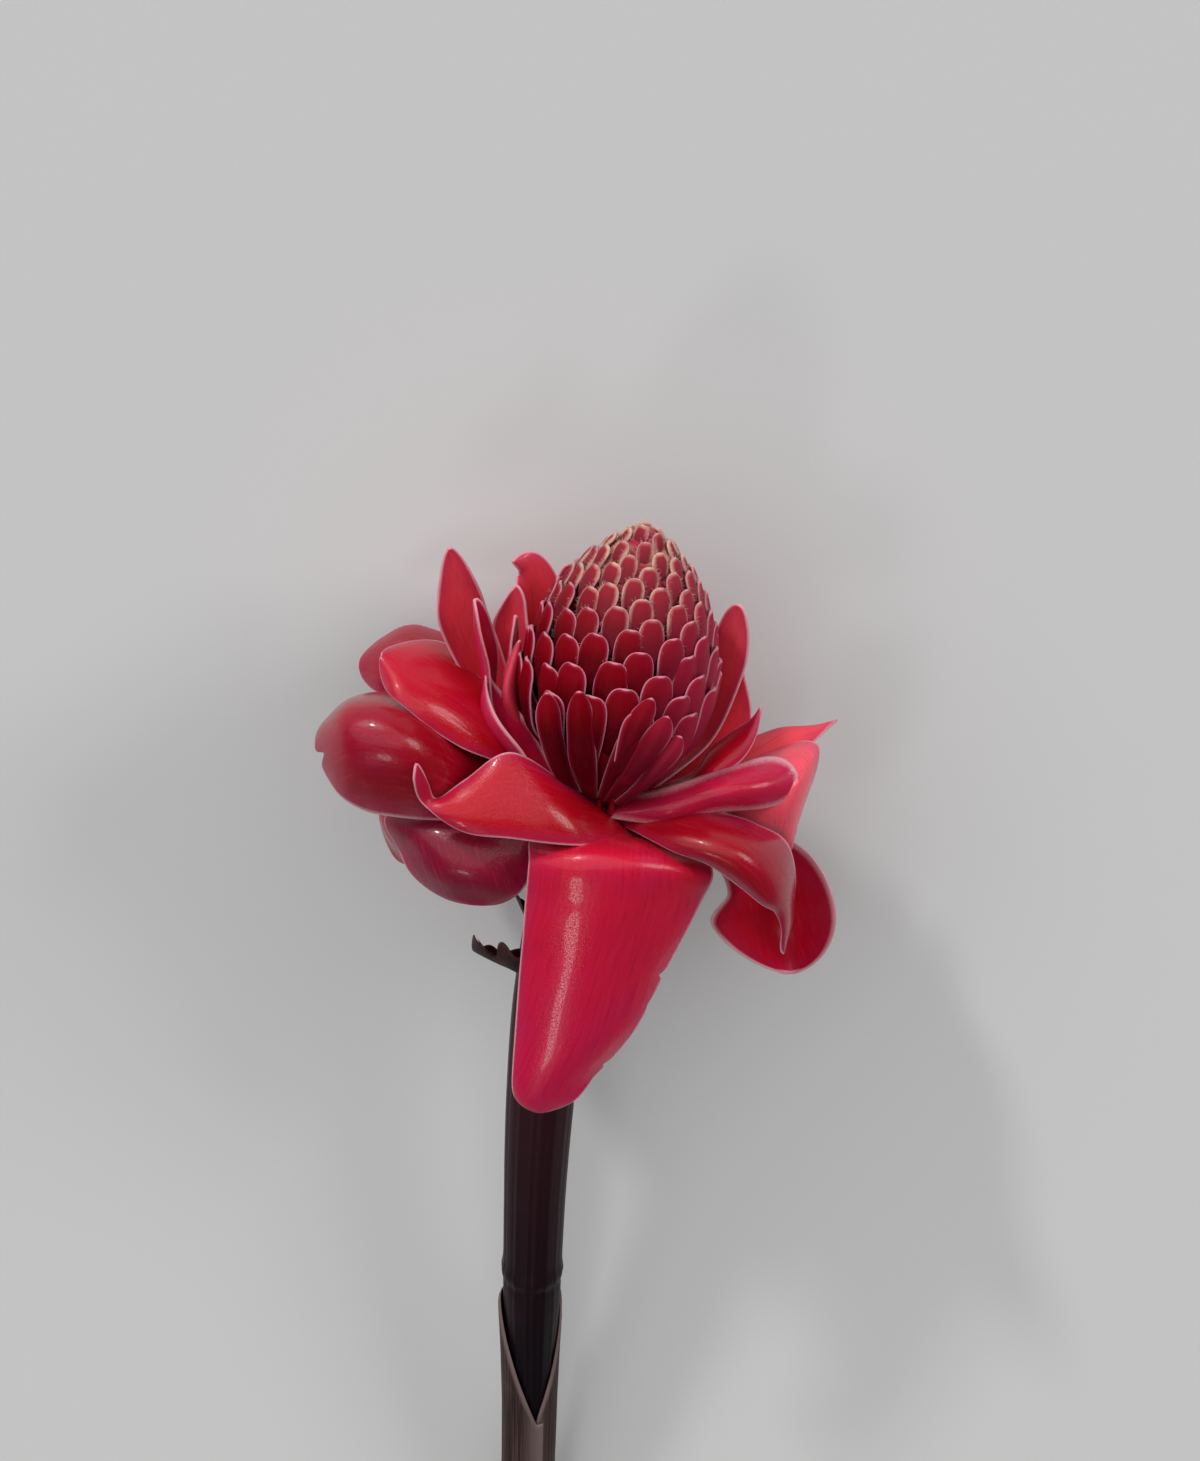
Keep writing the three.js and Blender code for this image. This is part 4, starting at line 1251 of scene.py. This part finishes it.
@dataclass
class FloralCone:
    """The dense cone of tongue-shaped flower bracts, its down and the buds at its foot.

    Each tongue turns by the golden angle from the one below it. Its tip lies on the cone's
    envelope, and from there it runs down and ever more steeply in to the core. Its section is
    (share of its width, cup) at four places from the tip down. Names with below in them are
    distances below the cone's tip.
    """

    # the envelope, from the heights of its tip and of its foot
    apex: float = 104
    base: float = 14
    radius: float = 32
    taper: float = 22
    taper_power: float = 1.15

    # the tongues; a pair is the value at the crown and the value low down
    golden_angle: float = 137.508
    first_angle: float = 40
    highest_tip: float = 0.8
    lowest_tip: float = 50
    crown: float = 3  # nearer the tip than this the tongues no longer shrink
    full_width_below: float = 34
    full_row_below: float = 40
    widths: tuple[float, float] = (4.8, 10.2)
    row_heights: tuple[float, float] = (4.6, 12.5)
    lengths: tuple[float, float] = (8, 38)
    crowdings: tuple[float, float] = (0.6, 0.71)  # share of its width times row that one takes
    wobbles: tuple[float, ...] = (0.06, 3, 2.5)  # of the length, the tip's lean and the azimuth
    tip_lean: float = 11
    tip_stands_out: float = 0.6
    foot_bend: float = 55
    section: tuple[tuple[float, float], ...] = ((1, 34), (1.04, 30), (0.85, 30), (0.5, 40))
    bluntness: float = 4.4  # 4 makes the tips half round
    tongue_thickness: float = 1.3

    # the core that they stand on
    core_foot: tuple[tuple[float, float], ...] = ((14, 12.5), (19, 14), (27, 17.5))
    core_rings_below: tuple[float, ...] = (60, 46, 34, 24, 16, 10, 5.5, 3)
    core_sunk: tuple[float, float] = (1.2, 7)  # under the envelope
    core_sunk_below: float = 48
    core_sides: int = 64

    # the down, and the painted side light: the cone's right side is painted pinker, as though lit
    # from there
    woolly_below: float = 28  # tongues nearer the tip than this carry down
    wool_full: float = 10  # and nearer than this they carry all of it
    core_wool_full: float = 12
    hairs_full: tuple[float, float] = (34, 8)  # the hairs grow more from the first to the second
    hairs_per_tongue: int = 90
    hair_roots: tuple[float, float] = (0.45, 0.995)  # places along a tongue
    hair_scatter: float = 0.55
    hair_lengths: tuple[float, float] = (0.9, 2.2)
    hair_radius: float = 0.05
    painted_side_light_run: tuple[float, float] = (-4, 30)  # over the cone, from left to right

    # the buds at its foot: azimuth, reach, height, radius and length
    bud_places: tuple[tuple[float, ...], ...] = (
        (-92, 17, 13, 1.1, 8),
        (-101, 17, 12, 0.9, 6),
        (-80, 18, 14, 1.2, 10),
    )

    # the stations of the long tongues at the front, through both margins and the midrib
    throat: tuple[tuple[Station, ...], ...] = (
        (
            (-8.7, -15, 17.8, -6.9, -15, 17.4, -5.2, -15, 18.3),
            (-17.1, -22, 30.7, -14.4, -24, 32.4, -11.5, -22, 32.7),
            (-23.1, -26, 46, -19.5, -28, 47.1, -16, -26, 47.1),
            (-25.3, -26, 55, -22.1, -27, 58.8, -17.4, -26, 56.3),
        ),
        (
            (-4.1, -16, 18.8, -2.9, -17, 18.9, -1.5, -16, 19.2),
            (-11.7, -24, 33.9, -8.1, -27, 35.3, -3.8, -24, 34.1),
            (-14.7, -27, 47.9, -11.2, -30, 49.6, -7, -27, 49.1),
            (-16.4, -28, 57.6, -13.4, -30, 62.3, -8.6, -28, 58.9),
        ),
        (
            (-1.6, -17, 19.8, -0.4, -18, 20.3, 1.1, -17, 20.3),
            (-1.2, -24, 34.5, 1.4, -26, 34.8, 4, -24, 34.6),
            (0.9, -27, 50.4, 3.9, -30, 51, 7.5, -28, 50.3),
            (3, -28, 60.1, 7.4, -30, 63.3, 10.7, -29, 59.2),
        ),
        (
            (0.1, -17, 19, 1.2, -18, 19.5, 2.7, -17, 19.1),
            (3, -25, 34.1, 5.7, -28, 35, 8.7, -26, 34.6),
            (6.4, -29, 48.4, 9.7, -32, 49.1, 13.7, -30, 47.8),
            (8.6, -30, 56.1, 12.7, -31, 58.7, 16.3, -30, 54.6),
        ),
        (
            (3.1, -17, 18.5, 4.8, -18, 19, 6.7, -17, 18.7),
            (8, -25, 31.7, 10.4, -28, 33, 12.5, -26, 33.1),
            (10.9, -28, 42.4, 13.9, -31, 43.3, 17.3, -29, 42.3),
            (12.8, -28, 48.5, 17.4, -30, 52.1, 20.4, -29, 47.9),
        ),
    )

    def envelope(self, below: Array) -> Array:
        """The outline's radius below the tip: radius times 1 - exp(-(below / taper)^power)."""
        return self.radius * (1 - np.exp(-((below / self.taper) ** self.taper_power)))

    def share(self, below: Array, low: float) -> Array:
        """The share of the way from the crown down to low, from 0 to 1."""
        return np.clip((below - self.crown) / (low - self.crown), 0, 1)

    def tongues(self) -> list[tuple[Blade, float]]:
        """The tongues from the lowest up, each with its tip's distance below the cone's tip."""
        tongues: list[tuple[Blade, float]] = []
        below = self.lowest_tip
        while below > self.highest_tip:
            i = len(tongues)
            shares = enumerate(self.wobbles, 1)
            wobble = [most * math.sin(12.9 * i + 7.3 * phase) for phase, most in shares]
            width = between(*self.widths, float(self.share(below, self.full_width_below)))
            row = between(*self.row_heights, float(self.share(below, self.full_row_below)))
            length = between(*self.lengths, float(self.share(below, self.lowest_tip)))
            length *= 1 + wobble[0]
            slope = float(self.envelope(below + 0.5) - self.envelope(below - 0.5))
            lean = self.tip_lean + wobble[1] - math.degrees(math.atan(slope))
            azimuth = self.first_angle + self.golden_angle * i + wobble[2]
            tongues.append((self.tongue(azimuth, below, length, width, lean, i), below))
            here = max(float(self.envelope(below)), 2)
            share = float(self.share(below, self.full_width_below))
            crowding = between(*self.crowdings, share)
            below -= width * row * crowding / (2 * math.pi * here)
        return tongues

    def tongue(
        self, azimuth: float, below: float, length: float, width: float, lean: float, seed: int
    ) -> Blade:
        """One tongue.

        Args:
            azimuth: where round the cone it stands.
            below: its tip's distance below the cone's tip.
            length: its length.
            width: its greatest width.
            lean: the angle at which its tip leans outward.
            seed: its number.

        Returns:
            Its blade, from the core to the tip.
        """
        points = [(float(self.envelope(below)) + self.tip_stands_out, self.apex - below)]
        for step in range(3):
            reach, height = points[-1]
            angle = math.radians(lean + self.foot_bend * ((step + 0.5) / 3) ** 1.6)
            down = length / 3 * math.cos(angle)
            points.append((max(reach - length / 3 * math.sin(angle), 1), height - down))
        pairs = zip(points, self.section)
        stations = [(azimuth, r, z, share * width, cup, 0) for (r, z), (share, cup) in pairs]
        return Blade(
            tuple(stations[::-1]),
            tip=self.bluntness * length / width,
            thickness=self.tongue_thickness,
            margin_thickness=0.7,
            swell=0.12,
            rows=22,
            columns=10,
            seed=500 + seed,
        )

    def core(self) -> Skin:
        """The core: a turned profile of radii at heights, closed at both poles."""
        below = np.array(self.core_rings_below)
        sunk = between(*self.core_sunk, self.share(below, self.core_sunk_below))
        upper = zip(self.apex - below, self.envelope(below) - sunk)
        profile = np.array([*self.core_foot, *upper])
        angle = np.linspace(0, 2 * np.pi, self.core_sides, endpoint=False)
        ring = np.stack([np.cos(angle), np.sin(angle)], -1)
        points = np.concatenate(
            [profile[:, None, 1:] * ring, np.repeat(profile[:, None, :1], len(angle), 1)], -1
        )
        points = np.concatenate(
            [points.reshape(-1, 3), [[0, 0, self.base], [0, 0, self.apex - 2]]]
        )
        count = len(points)
        top = ease(self.apex - points[:, 2], self.woolly_below, self.core_wool_full)
        marks = {"along": np.full(count, 0.9), "edge": FAR_IN - 2.2 * top, "top": top}
        return Skin(points, tube_faces(len(profile), len(angle)), points[:, :2] / UV_UNIT, marks)

    def tongue_skin(self, blade: Blade, below: float) -> Skin:
        """A tongue's skin, with the mark that says how far up the woolly top it stands."""
        skin = blade.skin()
        skin.marks.pop("inner")
        top = float(ease(below, self.woolly_below, self.wool_full))
        skin.marks["top"] = np.full(len(skin.points), top)
        return skin

    def painted_side_light(self, skin: Skin) -> Skin:
        """The skin with a mark of painted light that rises from 0 to 1 toward the cone's right
        side.
        """
        skin.marks["painted_side_light"] = ease(skin.points[:, 0], *self.painted_side_light_run)
        return skin

    def down(self) -> Skin:
        """Short three-sided hairs along the margins and faces of the tongues near the tip.

        A hair is a thin pyramid: its foot is a triangle on the blade's face, square to a
        direction between the blade's outer normal and its own direction, and its point lies
        that way off.

        Returns:
            All the hairs in one skin.
        """
        draw = np.random.default_rng(7)
        feet, points = [], []
        for blade, below in self.tongues():
            if below > self.woolly_below:
                continue
            count = int(self.hairs_per_tongue * float(ease(below, *self.hairs_full)))
            u = draw.uniform(*self.hair_roots, count)
            v = np.sign(draw.uniform(-1, 1, count)) * draw.uniform(0.35, 1, count) ** 0.3
            foot = blade.face(u, v)
            away = -blade.normal(u, v) * 0.7 + draw.normal(0, self.hair_scatter, (count, 3))
            feet.append(foot)
            points.append(foot + unit(away) * draw.uniform(*self.hair_lengths, (count, 1)))
        foot, point = np.concatenate(feet), np.concatenate(points)
        axis = unit(point - foot)
        side = unit(np.cross(axis, np.array([0.3, 0.5, 0.81])))
        other = np.cross(axis, side)
        turns = np.radians([0, 120, 240])
        ring = np.cos(turns)[:, None, None] * side + np.sin(turns)[:, None, None] * other
        ring = self.hair_radius * ring
        corners = np.concatenate([foot + ring, point[None]]).transpose(1, 0, 2).reshape(-1, 3)
        start = np.arange(len(foot))[:, None] * 4
        sides = [start + np.array(face) for face in ((0, 1, 3), (1, 2, 3), (2, 0, 3), (0, 2, 1))]
        return Skin(corners, [np.concatenate(sides)], corners[:, :2] / UV_UNIT)

    def buds(self) -> Skin:
        """Small pointed buds that stand between the lowest tongues and the bracts at the front.

        A bud is turned: its radius is a sine of the way up, drawn in toward the point.

        Returns:
            The buds in one skin.
        """
        t = np.linspace(0.04, 0.96, 14)
        angle = np.linspace(0, 2 * np.pi, 20, endpoint=False)
        skins = []
        for azimuth, reach, height, radius, length in self.bud_places:
            swell = radius * np.sin(np.pi * t**0.6) ** 0.7 * (1 - 0.5 * t)
            x = swell[:, None] * np.cos(angle) + reach
            y = swell[:, None] * np.sin(angle)
            z = np.repeat((height + length * t)[:, None], len(angle), 1)
            points = np.stack([x, y, z], -1).reshape(-1, 3)
            points = np.concatenate([points, [[reach, 0, height], [reach, 0, height + length]]])
            points = turned(points, "Z", azimuth)
            still = np.ones(len(points))
            marks = {"along": 0.8 * still, "edge": FAR_IN * still, "top": 0 * still}
            uv = points[:, :2] / UV_UNIT
            skins.append(Skin(points, tube_faces(len(t), len(angle)), uv, marks))
        return Skin.joined(skins)

    def build(self) -> Iterator[bpy.types.Object]:
        """Makes the cone, its down and its buds."""
        material = TongueFlesh().material()
        skins = [self.tongue_skin(blade, below) for blade, below in self.tongues()]
        cone = self.painted_side_light(Skin.joined([self.core(), *skins]))
        shape = {"tip": 11, "margin_thickness": 0.8, "swell": 0.2, "rows": 48, "columns": 18}
        blades = [RailedBlade(rails, seed=i, **shape) for i, rails in enumerate(self.throat)]
        fronts = [self.tongue_skin(blade, self.lowest_tip) for blade in blades]
        throat = self.painted_side_light(Skin.joined(fronts))
        yield show("floral_cone_tongues", laid(cone), material, ["floral_cone"])
        yield show("floral_cone_down", laid(self.down()), Down().material())
        yield show("throat_tongues", laid(throat), material)
        yield show("throat_buds", laid(self.painted_side_light(self.buds())), material)


# ---------------------------------------------------------------- stem and sheath


@dataclass
class Stem:
    """The flowering stem, with the receptacle at its top and the cut at its foot.

    Its ribs are waves round it: (height, how many there are, phase).
    """

    length: float = 330
    sides: int = 96
    rows: int = 240
    ring_height: float = -180
    ring_rise: float = 0.7
    ring_spread: float = 3
    groove_below: float = 4.2  # the ring
    groove_depth: float = 0.35
    groove_spread: float = 1.1
    ribs: tuple[tuple[float, int, float], ...] = ((0.1, 17, 0.6), (0.07, 29, 1.9))
    uv_radius: float = 10
    top: float = 13
    end_run: float = 8  # the UV map's run across an end
    end_rings: tuple[float, ...] = (0.3, 0.6, 0.85, 0.97)  # shares of the end's radius
    profile: tuple[tuple[float, float], ...] = (
        (-330, 7.9), (-270, 8), (-240, 8.2), (-215, 8.8), (-195, 9.7), (-184, 9.8), (-181.5, 9.8),
        (-178.5, 9.8), (-176, 9.9), (-150, 10.2), (-110, 11), (-60, 11.4), (-30, 12.4),
        (-15, 14.2), (-6, 16.3), (2, 17.4), (9, 17), (13, 15.6),
    )
    course: tuple[tuple[float, float], ...] = (
        (-25, -330), (-22.5, -255), (-20.6, -180), (-17.6, -115), (-12.4, -57), (0, 0), (2.2, 14),
    )

    def radius(self, height: Array) -> Array:
        """The profile's radius, with a bell-shaped ridge at the node ring and a groove under it."""
        heights, radii = np.array(self.profile).T
        above = height - self.ring_height
        ridge = np.exp(-((above / self.ring_spread) ** 2))
        groove = np.exp(-(((above + self.groove_below) / self.groove_spread) ** 2))
        smooth = np.interp(height, heights, radii)
        return smooth + self.ring_rise * ridge - self.groove_depth * groove

    def beside(self, height: Array, angle: Array, distance: Array) -> Array:
        """Points beside the centreline, on the cross-section at a height.

        The centreline is the curve through the course. A point is the centreline's at that
        height, and from there distance times the cosine of angle sideways and the sine back.

        Args:
            height: the cross-sections' heights.
            angle: angles round the stem, in radians.
            distance: distances from the centreline.

        Returns:
            The points, in the stem frame.
        """
        u = np.linspace(0, 1, 2001)
        line = through(self.course, u)
        at = np.interp(height, line[:, 1], u)
        centre = through(self.course, at)
        along = heading(self.course, at)
        x = centre[..., 0] + along[..., 1] * distance * np.cos(angle)
        z = centre[..., 1] - along[..., 0] * distance * np.cos(angle)
        return np.stack([x, distance * np.sin(angle), z], -1)

    def skin(self) -> Skin:
        """The stem's surface: rings from the cut up, faintly ribbed, and rings across both ends."""
        height = np.linspace(-self.length, self.top, self.rows)
        angle = np.linspace(0, 2 * np.pi, self.sides, endpoint=False)
        ribs = sum(rise * np.sin(count * angle + phase) for rise, count, phase in self.ribs)
        radius = self.radius(height)[:, None] + ribs * ease(-height, 6, 30)[:, None]
        inward = np.array(self.end_rings)
        end = np.ones(len(inward))
        heights = np.concatenate([-self.length * end, height, self.top * end])
        foot_rings, top_rings = inward[:, None] * radius[:1], inward[::-1, None] * radius[-1:]
        radii = np.concatenate([foot_rings, radius, top_rings])
        grid = np.repeat(heights[:, None], self.sides, 1)
        points = self.beside(grid, angle + 0 * grid, radii)
        poles = self.beside(np.array([-self.length, self.top]), np.zeros(2), np.zeros(2))
        points = np.concatenate([points.reshape(-1, 3), poles])
        cut = np.zeros_like(grid)
        cut[: len(inward)] = ease(inward, 1.0, 0.86)[:, None]
        away = (1 - inward) * self.end_run
        run = np.concatenate([-self.length - away, height, self.top + away[::-1]])
        ends = [[0, -self.length - self.end_run], [0, self.top + self.end_run]]
        round_stem = self.uv_radius * angle + 0 * grid
        uv = np.stack([round_stem, np.repeat(run[:, None], self.sides, 1)], -1)
        uv = np.concatenate([uv.reshape(-1, 2), ends]) / UV_UNIT
        marks = {
            "head": np.append(ease(grid, -230, -60), [0, 1]),
            "cut": np.append(cut, [1, 0]),
            "receptacle": np.append(ease(grid, -14, 2), [0, 1]),
        }
        points = on_floor(stem_to_row(points))
        return Skin(points, tube_faces(len(heights), self.sides), uv, marks)

    def build(self) -> Iterator[bpy.types.Object]:
        """Makes the stem."""
        yield show("stem_skin", self.skin(), StemSkin().material(), ["stem"])


@dataclass
class LeafSheath:
    """The leaf sheath round the lower stem, lapped along a seam at the front, with a V mouth."""

    stem: Stem
    thickness: float = 0.9
    gap: float = 0.4
    rim: float = -193
    seam: float = -76
    overlap: float = 30
    mouth_depth: float = 52
    mouth_half_angle: float = 95
    lap_start: float = 0.55  # the share of the turn at which it begins to step out over itself
    lap_run: float = 0.4
    margin_share: float = 0.25  # of the wall's thickness that is left at its margins
    margin_run: float = 3
    crowding: float = 0.9  # rows lie closer together toward the rim by this power
    fibres: int = 41
    fibre_rise: float = 0.06
    fibre_sway: float = 0.4
    sways: int = 7
    uv_radius: float = 9
    around: int = 170
    rows: int = 90

    def skin(self) -> Skin:
        """The sheath's closed surface: an outer and an inner grid joined round their border.

        At each share of the turn the rim's height dips toward the seam, evenly with the angle.
        The distance from the stem grows where one margin laps over the other. The wall thins
        toward its margins like a square root.

        Returns:
            The skin, in the row frame.
        """
        i, j = np.meshgrid(np.arange(self.around + 1), np.arange(self.rows + 1), indexing="ij")
        overlap = math.radians(self.overlap)
        turn = i / self.around * (2 * np.pi + overlap) - overlap / 2
        away = np.clip((np.pi - np.abs(np.pi - turn)) / math.radians(self.mouth_half_angle), 0, 1)
        rim = self.rim - self.mouth_depth * (1 - away)
        height = between(-self.stem.length, rim, (j / self.rows) ** self.crowding)
        step = self.thickness + self.gap
        lap = step * np.clip((i / self.around - self.lap_start) / self.lap_run, 0, 1)
        margin = np.minimum(i, self.around - i) * (2 * np.pi * self.uv_radius / self.around)
        edge = np.minimum(margin, rim - height)
        fullness = np.sqrt(np.clip(edge / self.margin_run, 0, 1))
        wall = self.thickness * between(self.margin_share, 1, fullness)
        sway = self.fibre_sway * np.sin(turn * self.sways)
        fibre = self.fibre_rise * np.sin(turn * self.fibres + sway)
        distance = self.stem.radius(height) + self.gap + lap
        angle = turn + math.radians(self.seam)
        outer = self.stem.beside(height, angle, distance + wall + fibre)
        inner = self.stem.beside(height, angle, distance)
        points = np.concatenate([outer.reshape(-1, 3), inner.reshape(-1, 3)])
        points = on_floor(stem_to_row(points))
        uv = np.stack([turn * self.uv_radius, height], -1).reshape(-1, 2) / UV_UNIT
        marks = {"edge": np.tile(edge.ravel(), 2)}
        return Skin(points, self.faces(), np.tile(uv, (2, 1)), marks)

    def faces(self) -> list[Array]:
        """The quads of the two grids and of the wall round their border."""
        count = (self.around + 1) * (self.rows + 1)
        at = np.arange(count).reshape(self.around + 1, self.rows + 1)
        a, b, c, d = at[:-1, :-1], at[1:, :-1], at[1:, 1:], at[:-1, 1:]
        outer = np.stack([a, b, c, d], -1).reshape(-1, 4)
        border = np.concatenate([at[:, 0], at[-1, 1:], at[-2::-1, -1], at[0, -2:0:-1]])
        after = np.roll(border, -1)
        wall = np.stack([after, border, border + count, after + count], -1)
        return [outer, outer[:, ::-1] + count, wall]

    def build(self) -> Iterator[bpy.types.Object]:
        """Makes the sheath."""
        material = SheathSkin().material()
        yield show("leaf_sheath", self.skin(), material, ["stem_sheath"])


# ---------------------------------------------------------------- withered remnants


@dataclass
class WitheredBracts:
    """The two dry remnants of the lowest bracts, on the stem under the head."""

    lower: Blade = Blade(
        (
            (-173, 11.5, -58, 12, 60, 0),
            (-161, 18.5, -54, 15, 60, 20),
            (-157, 25.5, -48, 17, 40, 40),
            (-158, 32, -40, 12, 20, 50),
        ),
        tip=6, wave=(1.6, 2.2, 0.1), notch=(9, 2, 2.6), thickness=0.9,
        margin_thickness=0.5, swell=1.1, seed=61,
    )
    upper: Blade = Blade(
        (
            (-160, 10, -40, 9, 40, 0),
            (-160, 14, -37, 10, 40, 0),
            (-160, 18, -31, 9, 30, 0),
            (-160, 20.5, -25.5, 7, 20, 0),
        ),
        tip=4, wave=(0.8, 1.6, 0.3), thickness=0.9, margin_thickness=0.5, swell=0.7, seed=62,
    )

    def build(self) -> Iterator[bpy.types.Object]:
        """Makes both remnants."""
        material = WitheredSkin().material()
        for name, blade in (("lower", self.lower), ("upper", self.upper)):
            node = f"withered_bract_{name}"
            yield show(f"{node}_husk", laid(blade.skin()), material, [node])


# ---------------------------------------------------------------- the studio


@dataclass
class Studio:
    """The pale floor, the soft lights and the camera."""

    view_tilt: float = CAMERA_ELEVATION - LYING_TILT  # from straight down, toward the head
    target: tuple[float, float, float] = (6.24, 139.9, 48.1)
    distance: float = 803.4
    field_of_view: float = 31  # over the picture's long side
    sensor: float = 36
    sight: float = 50  # how far the camera sees, in metres
    lamp_distance: float = 1000
    floor_half: float = 6000
    surround: str = "d8d8d8"
    surround_strength: float = 0.16
    lights: tuple[tuple[str, Station, float, float], ...] = (
        ("key", (-0.3, 0.6, 0.74), 100, 1.78),
        ("glint", (-0.42, 0.84, 0.36), 5, 1.15),
        ("rim", (0.8, 0.4, 0.45), 26, 1.0),
        ("front", (-0.36, -0.6, 0.72), 12, 0.22),
    )

    def floor(self) -> bpy.types.Object:
        """The floor: one large level square."""
        h = self.floor_half * MILLIMETRE
        mesh = bpy.data.meshes.new("studio_floor")
        mesh.from_pydata([(-h, -h, 0), (h, -h, 0), (h, h, 0), (-h, h, 0)], [], [(0, 1, 2, 3)])
        mesh.materials.append(PaleFloor().material())
        floor = linked("studio_floor", mesh)
        floor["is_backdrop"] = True
        return floor

    @staticmethod
    def aimed(place: Array, aim: Array, up: Array) -> Matrix:
        """The pose of something at place that looks along its -Z at aim, with up above it."""
        back = unit(place - aim)
        right = unit(np.cross(up, back))
        pose = np.eye(4)
        pose[:3, 0], pose[:3, 1], pose[:3, 2] = right, np.cross(back, right), back
        pose[:3, 3] = place * MILLIMETRE
        return Matrix(pose.tolist())

    def camera(self) -> None:
        """The camera: the head's end of the flower is up in its picture."""
        tilt = math.radians(self.view_tilt)
        back = np.array([0, math.sin(tilt), math.cos(tilt)])
        aim = np.array(self.target)
        data = bpy.data.cameras.new("camera")
        data.sensor_width = self.sensor
        data.lens = self.sensor / 2 / math.tan(math.radians(self.field_of_view / 2))
        data.clip_end = self.sight
        camera = linked("camera", data)
        camera.matrix_world = self.aimed(aim + back * self.distance, aim, np.array([0, 1.0, 0]))
        bpy.context.scene.camera = camera

    def light(self, name: str, toward: Station, spread: float, strength: float) -> None:
        """A far soft light, which lights the floor evenly.

        Args:
            name: its name.
            toward: the direction in which it lies.
            spread: the angle that it fills.
            strength: the watts that it sheds on a square metre.
        """
        data = bpy.data.lights.new(name, "SUN")
        data.angle = math.radians(spread)
        data.energy = strength
        lamp = linked(name, data)
        place = self.lamp_distance * unit(np.array(toward, float))
        lamp.matrix_world = self.aimed(place, np.zeros(3), np.array([0.1, 0.9, 0.2]))

    def build(self) -> None:
        """Makes the floor, the lights, the pale surroundings and the camera."""
        self.floor()
        self.camera()
        for name, toward, spread, strength in self.lights:
            self.light(name, toward, spread, strength)
        scene = bpy.context.scene
        world = bpy.data.worlds.new("studio")
        world.use_nodes = True
        background = world.node_tree.nodes["Background"]
        background.inputs["Color"].default_value = hue(self.surround)
        background.inputs["Strength"].default_value = self.surround_strength
        scene.world = world
        scene.view_settings.view_transform = "Standard"


def corners(bounds: tuple[Any, Any]) -> list[list[float]]:
    """A box's two corners as plain lists."""
    return [list(corner) for corner in bounds]


def main() -> None:
    """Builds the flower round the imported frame."""
    logging.basicConfig(level=logging.INFO, format="%(name)s: %(message)s", stream=sys.stdout)
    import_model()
    packed = corners(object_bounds())
    stem = Stem()
    for part in (stem, LeafSheath(stem), FloralCone(), BractWhorl(BRACTS), WitheredBracts()):
        for piece in part.build():
            log.info("%s built by %s", piece.name, type(part).__name__)
    Studio().build()
    json.dumps({"packed": packed, "visual": corners(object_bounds())})


if __name__ == "__main__":
    main()
